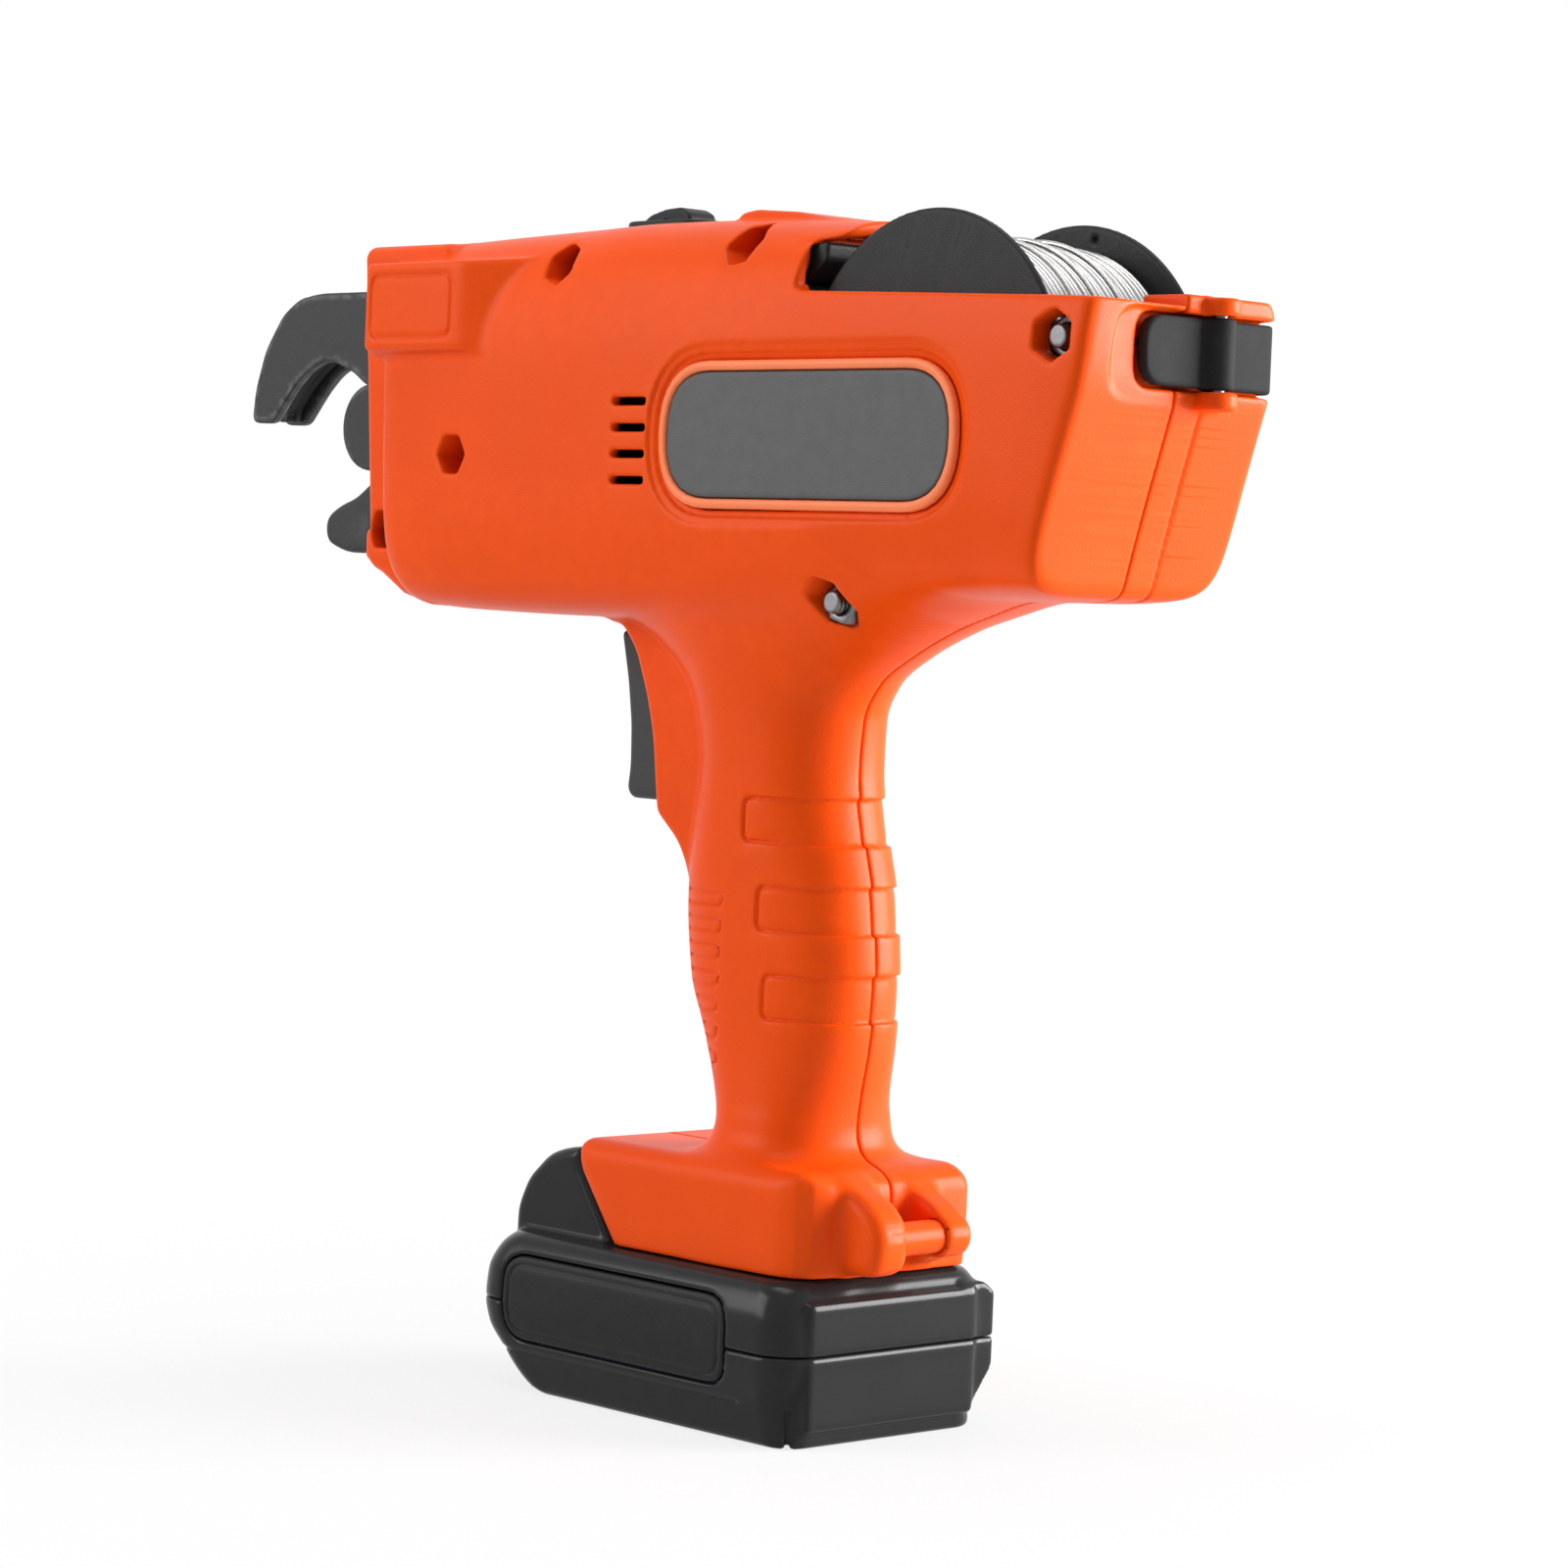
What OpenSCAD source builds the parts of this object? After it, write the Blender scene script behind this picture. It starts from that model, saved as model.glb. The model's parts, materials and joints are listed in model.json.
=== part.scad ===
// Battery tying tool for reinforcing bars: a pistol-grip housing with a wire spool behind,
// a hooked jaw in front and a battery under the grip.
// Millimetres, +Z up. The front points to -X, the left side to -Y.
// The origin lies on the battery's flat bottom face.

/* [Battery] */
// Length of the battery case
battery_length = 100; // [96:0.5:104]
// Width of the battery case
battery_width = 62; // [61:0.5:66]
// Height of the battery case up to the foot
battery_height = 33.8; // [32.5:0.1:36]
// Height of the parting line of the case
battery_parting = 19; // [18:0.5:20]
// Wall of the battery case
case_wall = 2.2; // [1.8:0.1:2.4]
// Diameter of one cell
cell_diameter = 18.2; // [17:0.1:18.4]
// Length of one cell
cell_length = 65; // [62:0.5:67]
// Forward travel that takes the battery off its rail
battery_travel = 80; // [70:1:90]

/* [Grip] */
// Height from the foot to the underside of the body
grip_height = 132.3; // [128:0.5:138]
// Front-to-back depth of the grip
grip_depth = 50; // [48:0.5:54]
// Width of the grip
grip_width = 33; // [32:0.5:36]
// Diameter of the bar that takes the wrist strap
strap_bar_diameter = 7; // [6:0.1:7.5]

/* [Body] */
// Height of the body from its underside to its crest
body_height = 84.7; // [83:0.1:88]
// Reach of the nose in front of the origin
nose_reach = 113; // [111:0.5:118]
// Wall of the body shells
wall = 2.8; // [2.5:0.1:3]
// Thickness of the tray behind the spool
tray_rear_wall = 12.1; // [12:0.1:14]
// Length of the name plate
plate_length = 82; // [76:1:84]
// Height of the name plate
plate_height = 26; // [22:0.5:27]

/* [Jaws] */
// Width of the hooked jaw over both plates
hook_width = 12; // [11:0.5:13]
// Reach of the hook in front of the nose
hook_reach = 62; // [58:0.5:66]
// Thickness of each hook plate
hook_plate = 2.5; // [2:0.1:3]
// Radius of the round bar rests
rest_radius = 10.3; // [9.5:0.1:11]
// Width of the lower jaw
lower_jaw_width = 16; // [14:0.5:18]

/* [Spool] */
// Diameter of the spool flanges
spool_diameter = 71.6; // [69:0.2:74]
// Width over both flanges
spool_width = 43.2; // [41:0.2:45]
// Thickness of each flange
flange_thickness = 1.5; // [1.2:0.1:2]
// Diameter of the spool bore
spool_bore = 20; // [18:0.5:22]
// Diameter over the wound wire
coil_diameter = 62; // [58:0.5:64]
// Diameter of the tying wire
wire_diameter = 1.1; // [0.8:0.05:1.15]
// Loops in the outer layer of the wire
wire_loops = 23; // [18:1:23]

/* [Drive] */
// Diameter of the twisting motor
motor_diameter = 34; // [30:0.5:36]
// Length of the twisting motor
motor_length = 50; // [44:0.5:52]
// Diameter of the twisting shaft
shaft_diameter = 8; // [7:0.1:8.5]
// Diameter of the feed motor
feed_motor_diameter = 18; // [16:0.5:19]
// Module of the feed gears
gear_module = 1; // [0.95:0.01:1.05]
// Teeth on each feed gear
gear_teeth = 12; // [12:1:12]

/* [Controls] */
// Width of the trigger
trigger_width = 13; // [11:0.5:14]
// Travel of the trigger
trigger_travel = 6; // [5:0.25:6.5]
// Length of the rocker of the power switch
rocker_length = 19; // [17:0.5:20]
// Width of the rocker
rocker_width = 9; // [8:0.5:10]
// Height of the rear lever
lever_height = 14; // [13:0.5:15]
// Diameter of the lever's hinge pin
lever_pin_diameter = 3; // [2.5:0.1:3.2]

/* [Fasteners] */
// Diameter of the shell bolts
bolt_diameter = 5; // [4:0.1:5.2]
// Width across the flats of the nuts
nut_flats = 8; // [7:0.1:8.2]
// Thickness of the nuts
nut_height = 4; // [3:0.1:4.2]

/* [Clearances] */
// Radial clearance of turning fits
running_gap = 0.05; // [0.03:0.01:0.08]
// Gap between pieces that move past each other
moving_gap = 0.4; // [0.35:0.05:0.5]
// Gap between pieces that sit in each other
seat_gap = 0.05; // [0.03:0.01:0.08]

/* [Hidden] */
$fn = 48;
far = 200;
orange = [0.93, 0.31, 0.08];
black = [0.09, 0.09, 0.1];
grey = [0.25, 0.25, 0.26];
steel = [0.66, 0.67, 0.69];

// Battery outline
battery_rear = 48;
battery_front = battery_rear - battery_length;
battery_half = battery_width / 2;
cell_pitch = cell_diameter + 0.2;
cell_room = 0.6;
cells_across = floor((battery_width - 2 * (case_wall + cell_room)) / cell_pitch);
cell_x = battery_rear - 15.5 - cell_length;
label_low = 12.9;
label_high = 25.6;
label_depth = 2;

// Levels
foot_bottom = battery_height + moving_gap;
body_bottom = foot_bottom + grip_height;
body_top = body_bottom + body_height;
foot_plate = 3;
foot_half = battery_half - 6;
foot_rear = battery_rear - 4;
foot_front = battery_front + 25.5;
rail_neck = 13;
rail_head = 16.5;
rail_front = foot_front + 13;
rail_rear = foot_rear - 8;

// Spool and its chamber
spool_r = spool_diameter / 2;
spool_half = spool_width / 2;
chamber_gap = 0.8;
chamber_r = spool_r + chamber_gap;
chamber_half = spool_half + 2;
spool_x = 67.3;
spool_z = body_bottom + 11.3 + chamber_r;
tray_rear = spool_x + chamber_r + tray_rear_wall;
tray_top = spool_z + 19.6;
tray_bottom = body_bottom + 6.5;
spool_bore_r = spool_bore / 2;
spool_core_r = spool_bore_r + 6;
coil_r = coil_diameter / 2;
wire_r = wire_diameter / 2;
winding_r = coil_r - wire_r;
loop_rings = 24;
core_r = winding_r * cos(180 / loop_rings) - wire_r - 0.05;
winding_half = spool_half - flange_thickness - 0.75 - wire_r;
winding_pitch = 2 * winding_half / wire_loops;

// Body section
body_half = chamber_half + 5.9;
body_mid = (body_bottom + body_top) / 2;
shell_front = nose_reach - 15.5;
nose_half = body_half - 9;
axis_z = body_bottom + 41;

// Head block and jaws
block_front = -nose_reach + 13;
block_rear = block_front + 9;
hook_tip = -nose_reach - hook_reach;
hook_half = hook_width / 2;
rest_x = block_front - 24.4;
rest_in = 7.5;
rest_out = 10.5;
sleeve_r = 6;

// Twisting drive
shaft_r = shaft_diameter / 2;
gearbox_front = block_rear + 32;
gearbox_length = 27;
gearbox_r = motor_diameter / 2 - 1;
motor_front = gearbox_front + gearbox_length;
motor_r = motor_diameter / 2;

// Wire feed
gear_r = gear_module * gear_teeth / 2;
gear_tip = gear_r + gear_module;
feed_x = block_rear + 12;
wire_z = axis_z + shaft_r + gear_tip + gear_r + 2.2;
drive_z = wire_z + gear_r;
idler_z = wire_z - gear_r;
gear_width = 7;
gear_backlash = 0.16;
feed_motor_r = feed_motor_diameter / 2;
bracket_y = -gear_width / 2 - moving_gap;
bracket_plate = 2;

// Trigger
trigger_half = trigger_width / 2;
trigger_low = body_bottom - 38.9;
trigger_high = body_bottom - 2.5;
slot_half = trigger_half + moving_gap;
hood_half = slot_half + wall - 0.4;
switch_x = -16 + trigger_travel + moving_gap + 0.2;
switch_z = body_bottom - 24;

// Power switch on the crest
rocker_x = -31.5;
bezel_z = body_top - 1.3;
bezel_length = rocker_length + 8;
bezel_width = rocker_width + 6.5;
rocker_z = bezel_z + 2;
rocker_tilt = -7;

// Rear lever
lever_y = 9;
lever_x = tray_rear + 0.2;
lever_low = spool_z + 1.2;
lever_high = lever_low + lever_height;
lever_pin_r = lever_pin_diameter / 2;
knuckle_r = lever_pin_r + 2.6;
lever_inner = body_half - 3.2;
strap = 2.6;

// Strap bar
bar_r = strap_bar_diameter / 2;
bar_x = foot_rear + bar_r + 4.9;
bar_z = foot_bottom + 8.3;
lug_in = 5;
lug_out = 13;

// Bolts: x, z, hex turn, depth of the nut's seat from the left face, outer half width there
bolt_r = bolt_diameter / 2;
nut_r = nut_flats / 2 / cos(30);
bolts = [
  [-nose_reach + 8.1, body_bottom + 17.5, 0, nose_half - 11.5],
  [-nose_reach + 41, axis_z - shaft_r - bolt_r - moving_gap, 0, body_half - 15.5],
  [-42, body_top - 9.7, 20, body_half - 20],
  [14.5, body_top - 7, 50, body_half - 20.5],
  [43, body_bottom + 5.2, 15, body_half - 14],
  [tray_rear - 9, spool_z + 9.6, 30, body_half - 9]
];

// Round bars along each axis
module along_x(x0, x1, y, z, r) {
  translate([x0, y, z]) rotate([0, 90, 0]) cylinder(h = x1 - x0, r = r);
}
module along_y(y0, y1, x, z, r) {
  translate([x, y0, z]) rotate([-90, 0, 0]) cylinder(h = y1 - y0, r = r);
}
module along_z(z0, z1, x, y, r) {
  translate([x, y, z0]) cylinder(h = z1 - z0, r = r);
}
// A box from its low corner to its high corner
module box(low, high) {
  translate(low) cube(high - low);
}
// A side-view outline in x and z, between two values of y
module side(y0, y1) {
  translate([0, y1, 0]) rotate([90, 0, 0]) linear_extrude(height = y1 - y0) children();
}
// A closed skin through rings of the same number of points
module skin(rings) {
  n = len(rings[0]);
  m = len(rings);
  points = [for (ring = rings) each ring];
  walls = [
    for (k = [0:m - 2]) for (i = [0:n - 1]) each [
      [k * n + i, (k + 1) * n + i, (k + 1) * n + (i + 1) % n],
      [k * n + i, (k + 1) * n + (i + 1) % n, k * n + (i + 1) % n]
    ]
  ];
  low = [for (i = [0:n - 1]) i];
  high = [for (i = [n - 1:-1:0]) (m - 1) * n + i];
  polyhedron(points = points, faces = concat([low], walls, [high]), convexity = 10);
}
// Outline with its corners rounded by short curves
function unit(v) = v / norm(v);
function rounded(points, r, steps = 4) = [
  for (i = [0:len(points) - 1])
    let (p = points[i])
    let (a = points[(i + len(points) - 1) % len(points)] - p)
    let (b = points[(i + 1) % len(points)] - p)
    let (t = min(r, norm(a) * 0.48, norm(b) * 0.48))
    for (k = [0:steps])
      let (s = k / steps)
      p + unit(a) * t * (1 - s) * (1 - s) + unit(b) * t * s * s
];
function frame_of(x0, x1, z0, z1) = [[x0, z0], [x1, z0], [x1, z1], [x0, z1]];
// Signed power, for rings between an ellipse and a box
function bulge(v, n) = sign(v) * pow(abs(v), 2 / n);
// Upright ring across the body at x, leaning by lean along its height, with roundness n above and m below
function body_ring(x, lean, half, low, high, n, m, count) = [
  for (i = [0:count - 1])
    let (t = i * 360 / count)
    let (e = i * 2 <= count ? n : m)
    let (y = half * bulge(cos(t), e))
    let (h = (high - low) / 2 * bulge(sin(t), e))
    [x + lean * (h + (high + low) / 2 - body_mid), y, (low + high) / 2 + h]
];
// Level ring across the grip at z
function grip_ring(z, front, rear, half, n, count) = [
  for (i = [0:count - 1])
    let (t = i * 360 / count)
    [(front + rear) / 2 + (rear - front) / 2 * bulge(cos(t), n), half * bulge(sin(t), n), z]
];
// Level rounded rectangle, for the battery case
function case_ring(z, front, rear, half, r, steps = 5) = [
  for (p = rounded([[front, -half], [rear, -half], [rear, half], [front, half]], r, steps))
    [p[0], p[1], z]
];

// Outer and inner forms of the body, less a wall s
module barrel(s) {
  c = s > 0 ? 16 : 28;
  b = body_bottom + s;
  t = body_top - s;
  w = body_half - s;
  f = -shell_front + s;
  r = tray_rear - s;
  skin([
    body_ring(f, -0.1, w - 4.5, b + 7, t - 4.2, 3.4, 5, c),
    body_ring(f + 2, -0.1, w - 2.8, b + 3.4, t - 3.4, 3.4, 5.5, c),
    body_ring(f + 8, -0.08, w - 1.8, b + 1, t - 2.6, 3.4, 6, c),
    body_ring(f + 20, -0.04, w - 1.2, b + 0.3, t - 1.9, 3.4, 6, c),
    body_ring(-45, 0, w - 0.8, b, t - 0.7, 3.4, 5.5, c),
    body_ring(-22, 0, w - 0.2, b, t, 3.5, 5, c),
    body_ring(6, 0, w, b + 0.4, t - 0.2, 3.5, 4.6, c),
    body_ring(34, 0, w, b + 1.5, t - 1.4, 3.7, 4.4, c),
    body_ring(60, 0.02, w - 0.1, b + 4.5, t - 3, 4, 4.2, c),
    body_ring(r - 30, 0.08, w - 0.2, b + 6.4, t - 6, 4, 4.2, c),
    body_ring(r - 18, 0.18, w - 0.3, b + 7, t - 9, 4.4, 4.6, c),
    body_ring(r - 10, 0.27, w - 0.8, b + 7.4, t - 12, 5, 5, c),
    body_ring(r - 4, 0.32, w - 2.2, b + 8.2, t - 15, 6, 6, c)
  ]);
}
module nose(s) {
  c = s > 0 ? 16 : 28;
  f = -nose_reach + s;
  w = nose_half - s;
  b = body_bottom + 9.5 + s;
  t = body_top - 3.4 - s;
  skin([
    body_ring(f, -0.08, w - 1, b + 1.5, t - 1, 7, 7, c),
    body_ring(f + 1.5, -0.08, w, b + 0.3, t, 7, 7, c),
    body_ring(f + 12, -0.08, w, b - 2.5, t, 6, 6, c),
    body_ring(f + 26, -0.08, w - 1, b - 2.5, t - 0.4, 5, 5, c)
  ]);
}
module grip(s) {
  c = s > 1 ? 12 : 24;
  d = (grip_depth - 50) / 2;
  w = grip_width / 2 - s;
  g = body_bottom;
  h = foot_half - s;
  f = foot_front + s;
  r = foot_rear - s;
  z = foot_bottom + (s > 0 ? foot_plate : 0);
  skin([
    grip_ring(z, f + 11.5, r, h, 12, c),
    grip_ring(foot_bottom + 9.4, f + 4.5, r + 0.3, h + 0.2, 12, c),
    grip_ring(foot_bottom + 16, f + 0.3, r + 0.3, h - 0.3, 9, c),
    grip_ring(foot_bottom + 20 - s / 2, f + 1.2, r - 0.3, h - 1.8, 7, c),
    grip_ring(foot_bottom + 22.6 - s, f + 8, r - 3.6, h - 5.5, 4.6, c),
    grip_ring(foot_bottom + 25.2 - s, f + 20, r - 6.6, w + 3, 3.2, c),
    grip_ring(foot_bottom + 28.5 - s, s + 0.8 - d, r - 8, w + 1.4, 2.5, c),
    grip_ring(g - 99, s - 0.8 - d, 36.2 - s + d, w + 0.7, 2.4, c),
    grip_ring(g - 86, s - 5.7 - d, 37.8 - s + d, w, 2.5, c),
    grip_ring(g - 74, s - 10.7 - d, 38.8 - s + d, w, 2.5, c),
    grip_ring(g - 58, s - 11.8 - d, 37 - s + d, w, 2.5, c),
    grip_ring(g - 44, s - 10.8 - d, 33.6 - s + d, w, 2.4, c),
    grip_ring(g - 30, s - 9.5 - d, 31 - s + d, w, 2.3, c),
    grip_ring(g - 19, s - 12 - d, 31.8 - s + d, w + 0.3, 2.2, c),
    grip_ring(g - 11, s - 17 - d, 36.6 - s + d, w + 1, 2.15, c),
    grip_ring(g - 5.5, s - 24 - d, 47.2 - s + d, w + 2.4, 2.15, c),
    grip_ring(g + 0.5, s - 33 - d, 62 - s + d, w + 5, 2.3, c),
    grip_ring(g + 5, s - 38 - d, 77 - s + d, w + 7.4, 2.6, c),
    grip_ring(g + 10, s - 40 - d, 86 - s + d, w + 9, 3, c),
    grip_ring(g + 16, s - 40 - d, 88 - s + d, w + 9.6, 3.2, c)
  ]);
}
// Cover in front of the grip that the trigger slides in
function hood_outline(s) = [
  [-41.5 + s, body_bottom + 5], [-40.4 + s, body_bottom - 0.7], [-35.7 + s, body_bottom - 1.5],
  [-30.8 + s, body_bottom - 6.8], [-26.6 + s, body_bottom - 17], [-24.3 + s, body_bottom - 25.3],
  [-22.6 + s, body_bottom - 38.5 + s], [-20.7 + s, body_bottom - 41.1 + s],
  [-13.1 + s, body_bottom - 47 + s], [-9, body_bottom - 55 + s], [2, body_bottom - 55 + s],
  [2, body_bottom + 5]
];
module hood(s) {
  side(-hood_half + s, hood_half - s) polygon(hood_outline(s));
}
// Raised cover over the feed motor on the left
module motor_boss(s) {
  x = -nose_reach;
  y = -body_half - 1.4 + s;
  z = body_top - 9;
  skin([
    [for (p = rounded(frame_of(x + 11, x + 66 - s, z - 23, z + 2 - s), 5)) [p[0], y + 13, p[1]]],
    [for (p = rounded(frame_of(x + 10.5 + s, x + 45 - s, z - 19 + s, z - s), 3.5)) [p[0], y + 1, p[1]]],
    [for (p = rounded(frame_of(x + 11.3 + s, x + 44 - s, z - 18 + s, z - 0.8 - s), 3)) [p[0], y, p[1]]]
  ]);
}
// Raised rim round the name plate, and the low deck on the crest
module plate_rim() {
  side(-body_half - 0.5, -body_half + 4) plate_shape(-2.3);
}
module deck() {
  side(-body_half + 18, body_half - 18) polygon(rounded([
    [-1.6, body_top - 6], [-0.6, body_top + 1], [4, body_top + 1.7], [17, body_top + 0.8],
    [32, body_top - 1.6], [32, body_top - 6]
  ], 1.5));
}
// Two lugs that carry the strap bar
module lugs() {
  for (q = [-1, 1])
    side(q < 0 ? -lug_out : lug_in, q < 0 ? -lug_in : lug_out)
      polygon(rounded([
        [foot_rear - 6, foot_bottom + 0.5], [bar_x + bar_r + 0.6, foot_bottom + 1],
        [bar_x + bar_r + 1.4, bar_z + 2], [bar_x - 1, bar_z + bar_r + 3], [foot_rear - 6, bar_z + 12]
      ], 4));
}
// Hinge knuckles and raised strip behind the tray, on the right shell
module knuckles() {
  for (z = [lever_low - 3.5 - moving_gap, lever_high + moving_gap]) {
    along_z(z, z + 3.5, lever_x, lever_y, knuckle_r);
    box([tray_rear - tray_rear_wall + 1, lever_y - knuckle_r, z],
      [lever_x, lever_y + knuckle_r, z + 3.5]);
  }
}
module outer() {
  barrel(0);
  nose(0);
  grip(0);
  hood(0);
  motor_boss(0);
  plate_rim();
  deck();
  lugs();
}
// Plates across the cavity that hold the drive, the board and the switch
module ribs() {
  for (x = [gearbox_front + 4, motor_front + 8, motor_front + motor_length - 6])
    box([x, -far, body_bottom], [x + 2, far, body_top]);
  box([24, -far, body_bottom], [26.5, far, body_top]);
  for (x = [-61, -8])
    box([x, -far, body_bottom], [x + 2, far, body_bottom + 9.5]);
  for (z = [switch_z - 9, switch_z + 7])
    box([switch_x, -far, z], [switch_x + 16, far, z + 2]);
}
module inner() {
  difference() {
    union() {
      difference() {
        barrel(wall);
        along_y(-far, far, spool_x, spool_z, chamber_r + 2.4);
        box([60, -far, body_bottom], [far, far, body_top]);
      }
      nose(wall);
      motor_boss(wall);
      difference() {
        grip(wall);
        along_y(-far, far, spool_x, spool_z, chamber_r + 2.4);
      }
      box([block_front - seat_gap, -nose_half + wall, body_bottom + 13],
        [block_rear + 6, nose_half - wall, body_top - 10]);
    }
    ribs();
  }
}
// Spool chamber, its loading mouth and the low tray walls
module chamber() {
  along_y(-chamber_half, chamber_half, spool_x, spool_z, chamber_r);
  box([spool_x - chamber_r, -chamber_half, spool_z], [spool_x + chamber_r, chamber_half, body_top - 8]);
  side(-chamber_half + 0.4, chamber_half - 0.4) polygon([
    [spool_x - chamber_r + 0.8, body_top - 9], [spool_x + chamber_r - 0.8, body_top - 9],
    [spool_x + chamber_r - 0.8, far * 2],
    [spool_x - chamber_r + 24, far * 2], [spool_x - chamber_r + 16, body_top - 5.6],
    [spool_x - chamber_r + 0.8, body_top - 6.8]
  ]);
  side(-far, far) polygon(rounded([
    [spool_x - chamber_r + 3.9, tray_top], [far, tray_top - 5.3], [far, far * 2],
    [spool_x - chamber_r + 16, far * 2], [spool_x - chamber_r + 13, body_top - 4.6],
    [spool_x - chamber_r + 4.4, body_top - 5.9]
  ], 2.5));
}
module jaw_mouth() {
  box([-nose_reach - 20, -rest_out - 1, body_bottom + 11], [block_front, rest_out + 1, axis_z + 34]);
}
module vents() {
  for (k = [0:3])
    box([-18, -far, body_bottom + 29 + k * 4.8], [-8, far, body_bottom + 30.9 + k * 4.8]);
}
module plate_shape(s) {
  polygon(rounded(frame_of(
    40 - plate_length / 2 + s, 40 + plate_length / 2 - s, body_bottom + 38.5 - plate_height / 2 + s,
    body_bottom + 38.5 + plate_height / 2 - s), plate_height / 2 - s, 6));
}
plate_in = body_half - 2.2;
module plate_recess() {
  side(-far, -plate_in) plate_shape(0);
}
// Grip bands pressed into the back of the handle
module grip_bands() {
  difference() {
    for (k = [0:2])
      box([13 - k * 1.2, -far, body_bottom - 45.8 - k * 18.2], [far, far, body_bottom - 36.8 - k * 18.2]);
    intersection() {
      grip(0.9);
      box([-far, -far, body_bottom - 90], [far, far, body_bottom - 30]);
    }
  }
}
module battery_way() {
  box([-far, -rail_neck - moving_gap, foot_bottom - 1],
    [rail_rear + moving_gap, rail_neck + moving_gap, foot_bottom + foot_plate + 1]);
  box([-far, -rail_head - moving_gap, foot_bottom + foot_plate],
    [rail_rear + moving_gap, rail_head + moving_gap, foot_bottom + 8.4]);
}
module bezel_shape(grow, r = 6) {
  l = bezel_length / 2 + grow;
  w = bezel_width / 2 + grow;
  polygon(rounded([[rocker_x - l, -w], [rocker_x + l, -w], [rocker_x + l, w], [rocker_x - l, w]], r));
}
// Room for the lever: behind the tray, along the right wall and where its pad swings in
module lever_way() {
  z0 = lever_low - moving_gap;
  z1 = lever_high + moving_gap;
  box([tray_rear - 3.4 - moving_gap * 2, -12.5, z0], [far, far, z1]);
  box([tray_rear - 5.8, -12.5, z0], [far, lever_y - 5.3, z1]);
  box([spool_x - 13, lever_inner - moving_gap, z0 - 12], [far, far, z1]);
  along_y(lever_inner - moving_gap, far, spool_x, spool_z, 14);
  box([lever_x - 6.2, lever_y - 5.4, z0], [far, lever_y + 5.4, z1]);
}
module shell_mass(q) {
  resize([0, 0, 0]) {
    difference() {
      outer();
      box([-far, q < 0 ? 0 : -far, -1], [far, q < 0 ? far : 0, far * 2]);
      inner();
      chamber();
      jaw_mouth();
      vents();
      plate_recess();
      grip_bands();
      battery_way();
      trigger_slot();
      feed_pocket();
      drive_pocket();
      board_pocket();
      switch_pocket();
      inlet_pocket();
      translate([0, 0, bezel_z]) linear_extrude(height = far) bezel_shape(seat_gap);
      translate([0, 0, bezel_z - 5.5]) linear_extrude(height = far) bezel_shape(-2.6, 0.5);
      box([tray_rear, -far, spool_z], [far, far, far * 2]);
      lever_way();
    }
    if (q > 0) knuckles();
  }
}
function trigger_outline() = [
  [-38.8, trigger_high], [-35.2, body_bottom - 13.6], [-33.6, body_bottom - 22.7],
  [-33.3, body_bottom - 31.8],
  [-34.2, body_bottom - 37], [-32.8, trigger_low], [-16, trigger_low], [-16, body_bottom - 16],
  [-33, trigger_high]
];
module trigger_slot() {
  side(-slot_half, slot_half) polygon([
    [-60, trigger_low - moving_gap], [-16 + trigger_travel + moving_gap, trigger_low - moving_gap],
    [-16 + trigger_travel + moving_gap, body_bottom - 15],
    [-30 + trigger_travel, trigger_high + moving_gap],
    [-60, trigger_high + moving_gap]
  ]);
}
// True round holes, cut last
module bolt_holes() {
  for (b = bolts) {
    along_y(-far, far, b[0], b[1], bolt_r + 0.1);
    translate([b[0], -b[3], b[1]]) rotate([90, 0, 0]) rotate([0, 0, b[2]])
      cylinder(h = far, r = nut_r + 0.15, $fn = 6);
    along_y(b[3], far, b[0], b[1], bolt_r * 1.9);
  }
}
module feed_pocket() {
  along_y(-body_half + wall - 0.6, 0, feed_x, drive_z, feed_motor_r + seat_gap);
}
module drive_pocket() {
  along_x(gearbox_front - 1, motor_front, 0, axis_z, gearbox_r + seat_gap);
  along_x(motor_front, motor_front + motor_length, 0, axis_z, motor_r + seat_gap);
}
module inlet_pocket() {
  box([26.5, -chamber_half + 1.2 - seat_gap, spool_z + 11 - seat_gap],
    [inlet_x + 2, 8 + seat_gap, body_top - 7.2 + seat_gap]);
  box([feed_x, -1.3, wire_z - 2], [26.6, 1.3, inlet_z + 2]);
}
module board_pocket() {
  box([-64, -21, body_bottom + 7], [20, 21, body_bottom + 8.7]);
}
module switch_pocket() {
  box([switch_x - 2, -5 - seat_gap, switch_z - 7 - seat_gap],
    [switch_x + 16 + seat_gap, 5 + seat_gap, switch_z + 7 + seat_gap]);
}
module left_shell() {
  color(orange) difference() {
    shell_mass(-1);
    bolt_holes();
    along_y(-lug_out + 2, -lug_in + 1, bar_x, bar_z, bar_r + seat_gap);
    along_y(-chamber_half - 2, -chamber_half + 1, spool_x, spool_z, spool_bore_r + 2 + seat_gap);
  }
}
module right_shell() {
  color(orange) difference() {
    shell_mass(1);
    bolt_holes();
    along_y(lug_in - 1, lug_out - 2, bar_x, bar_z, bar_r + seat_gap);
    along_y(chamber_half - 1, far, spool_x, spool_z, spool_bore_r + 3);
    along_z(lever_low - 2.8, lever_high + 8, lever_x, lever_y, lever_pin_r + seat_gap / 2);
  }
}
module name_plate() {
  color(grey) side(-plate_in - 1.6, -plate_in - seat_gap) plate_shape(seat_gap);
}
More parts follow.
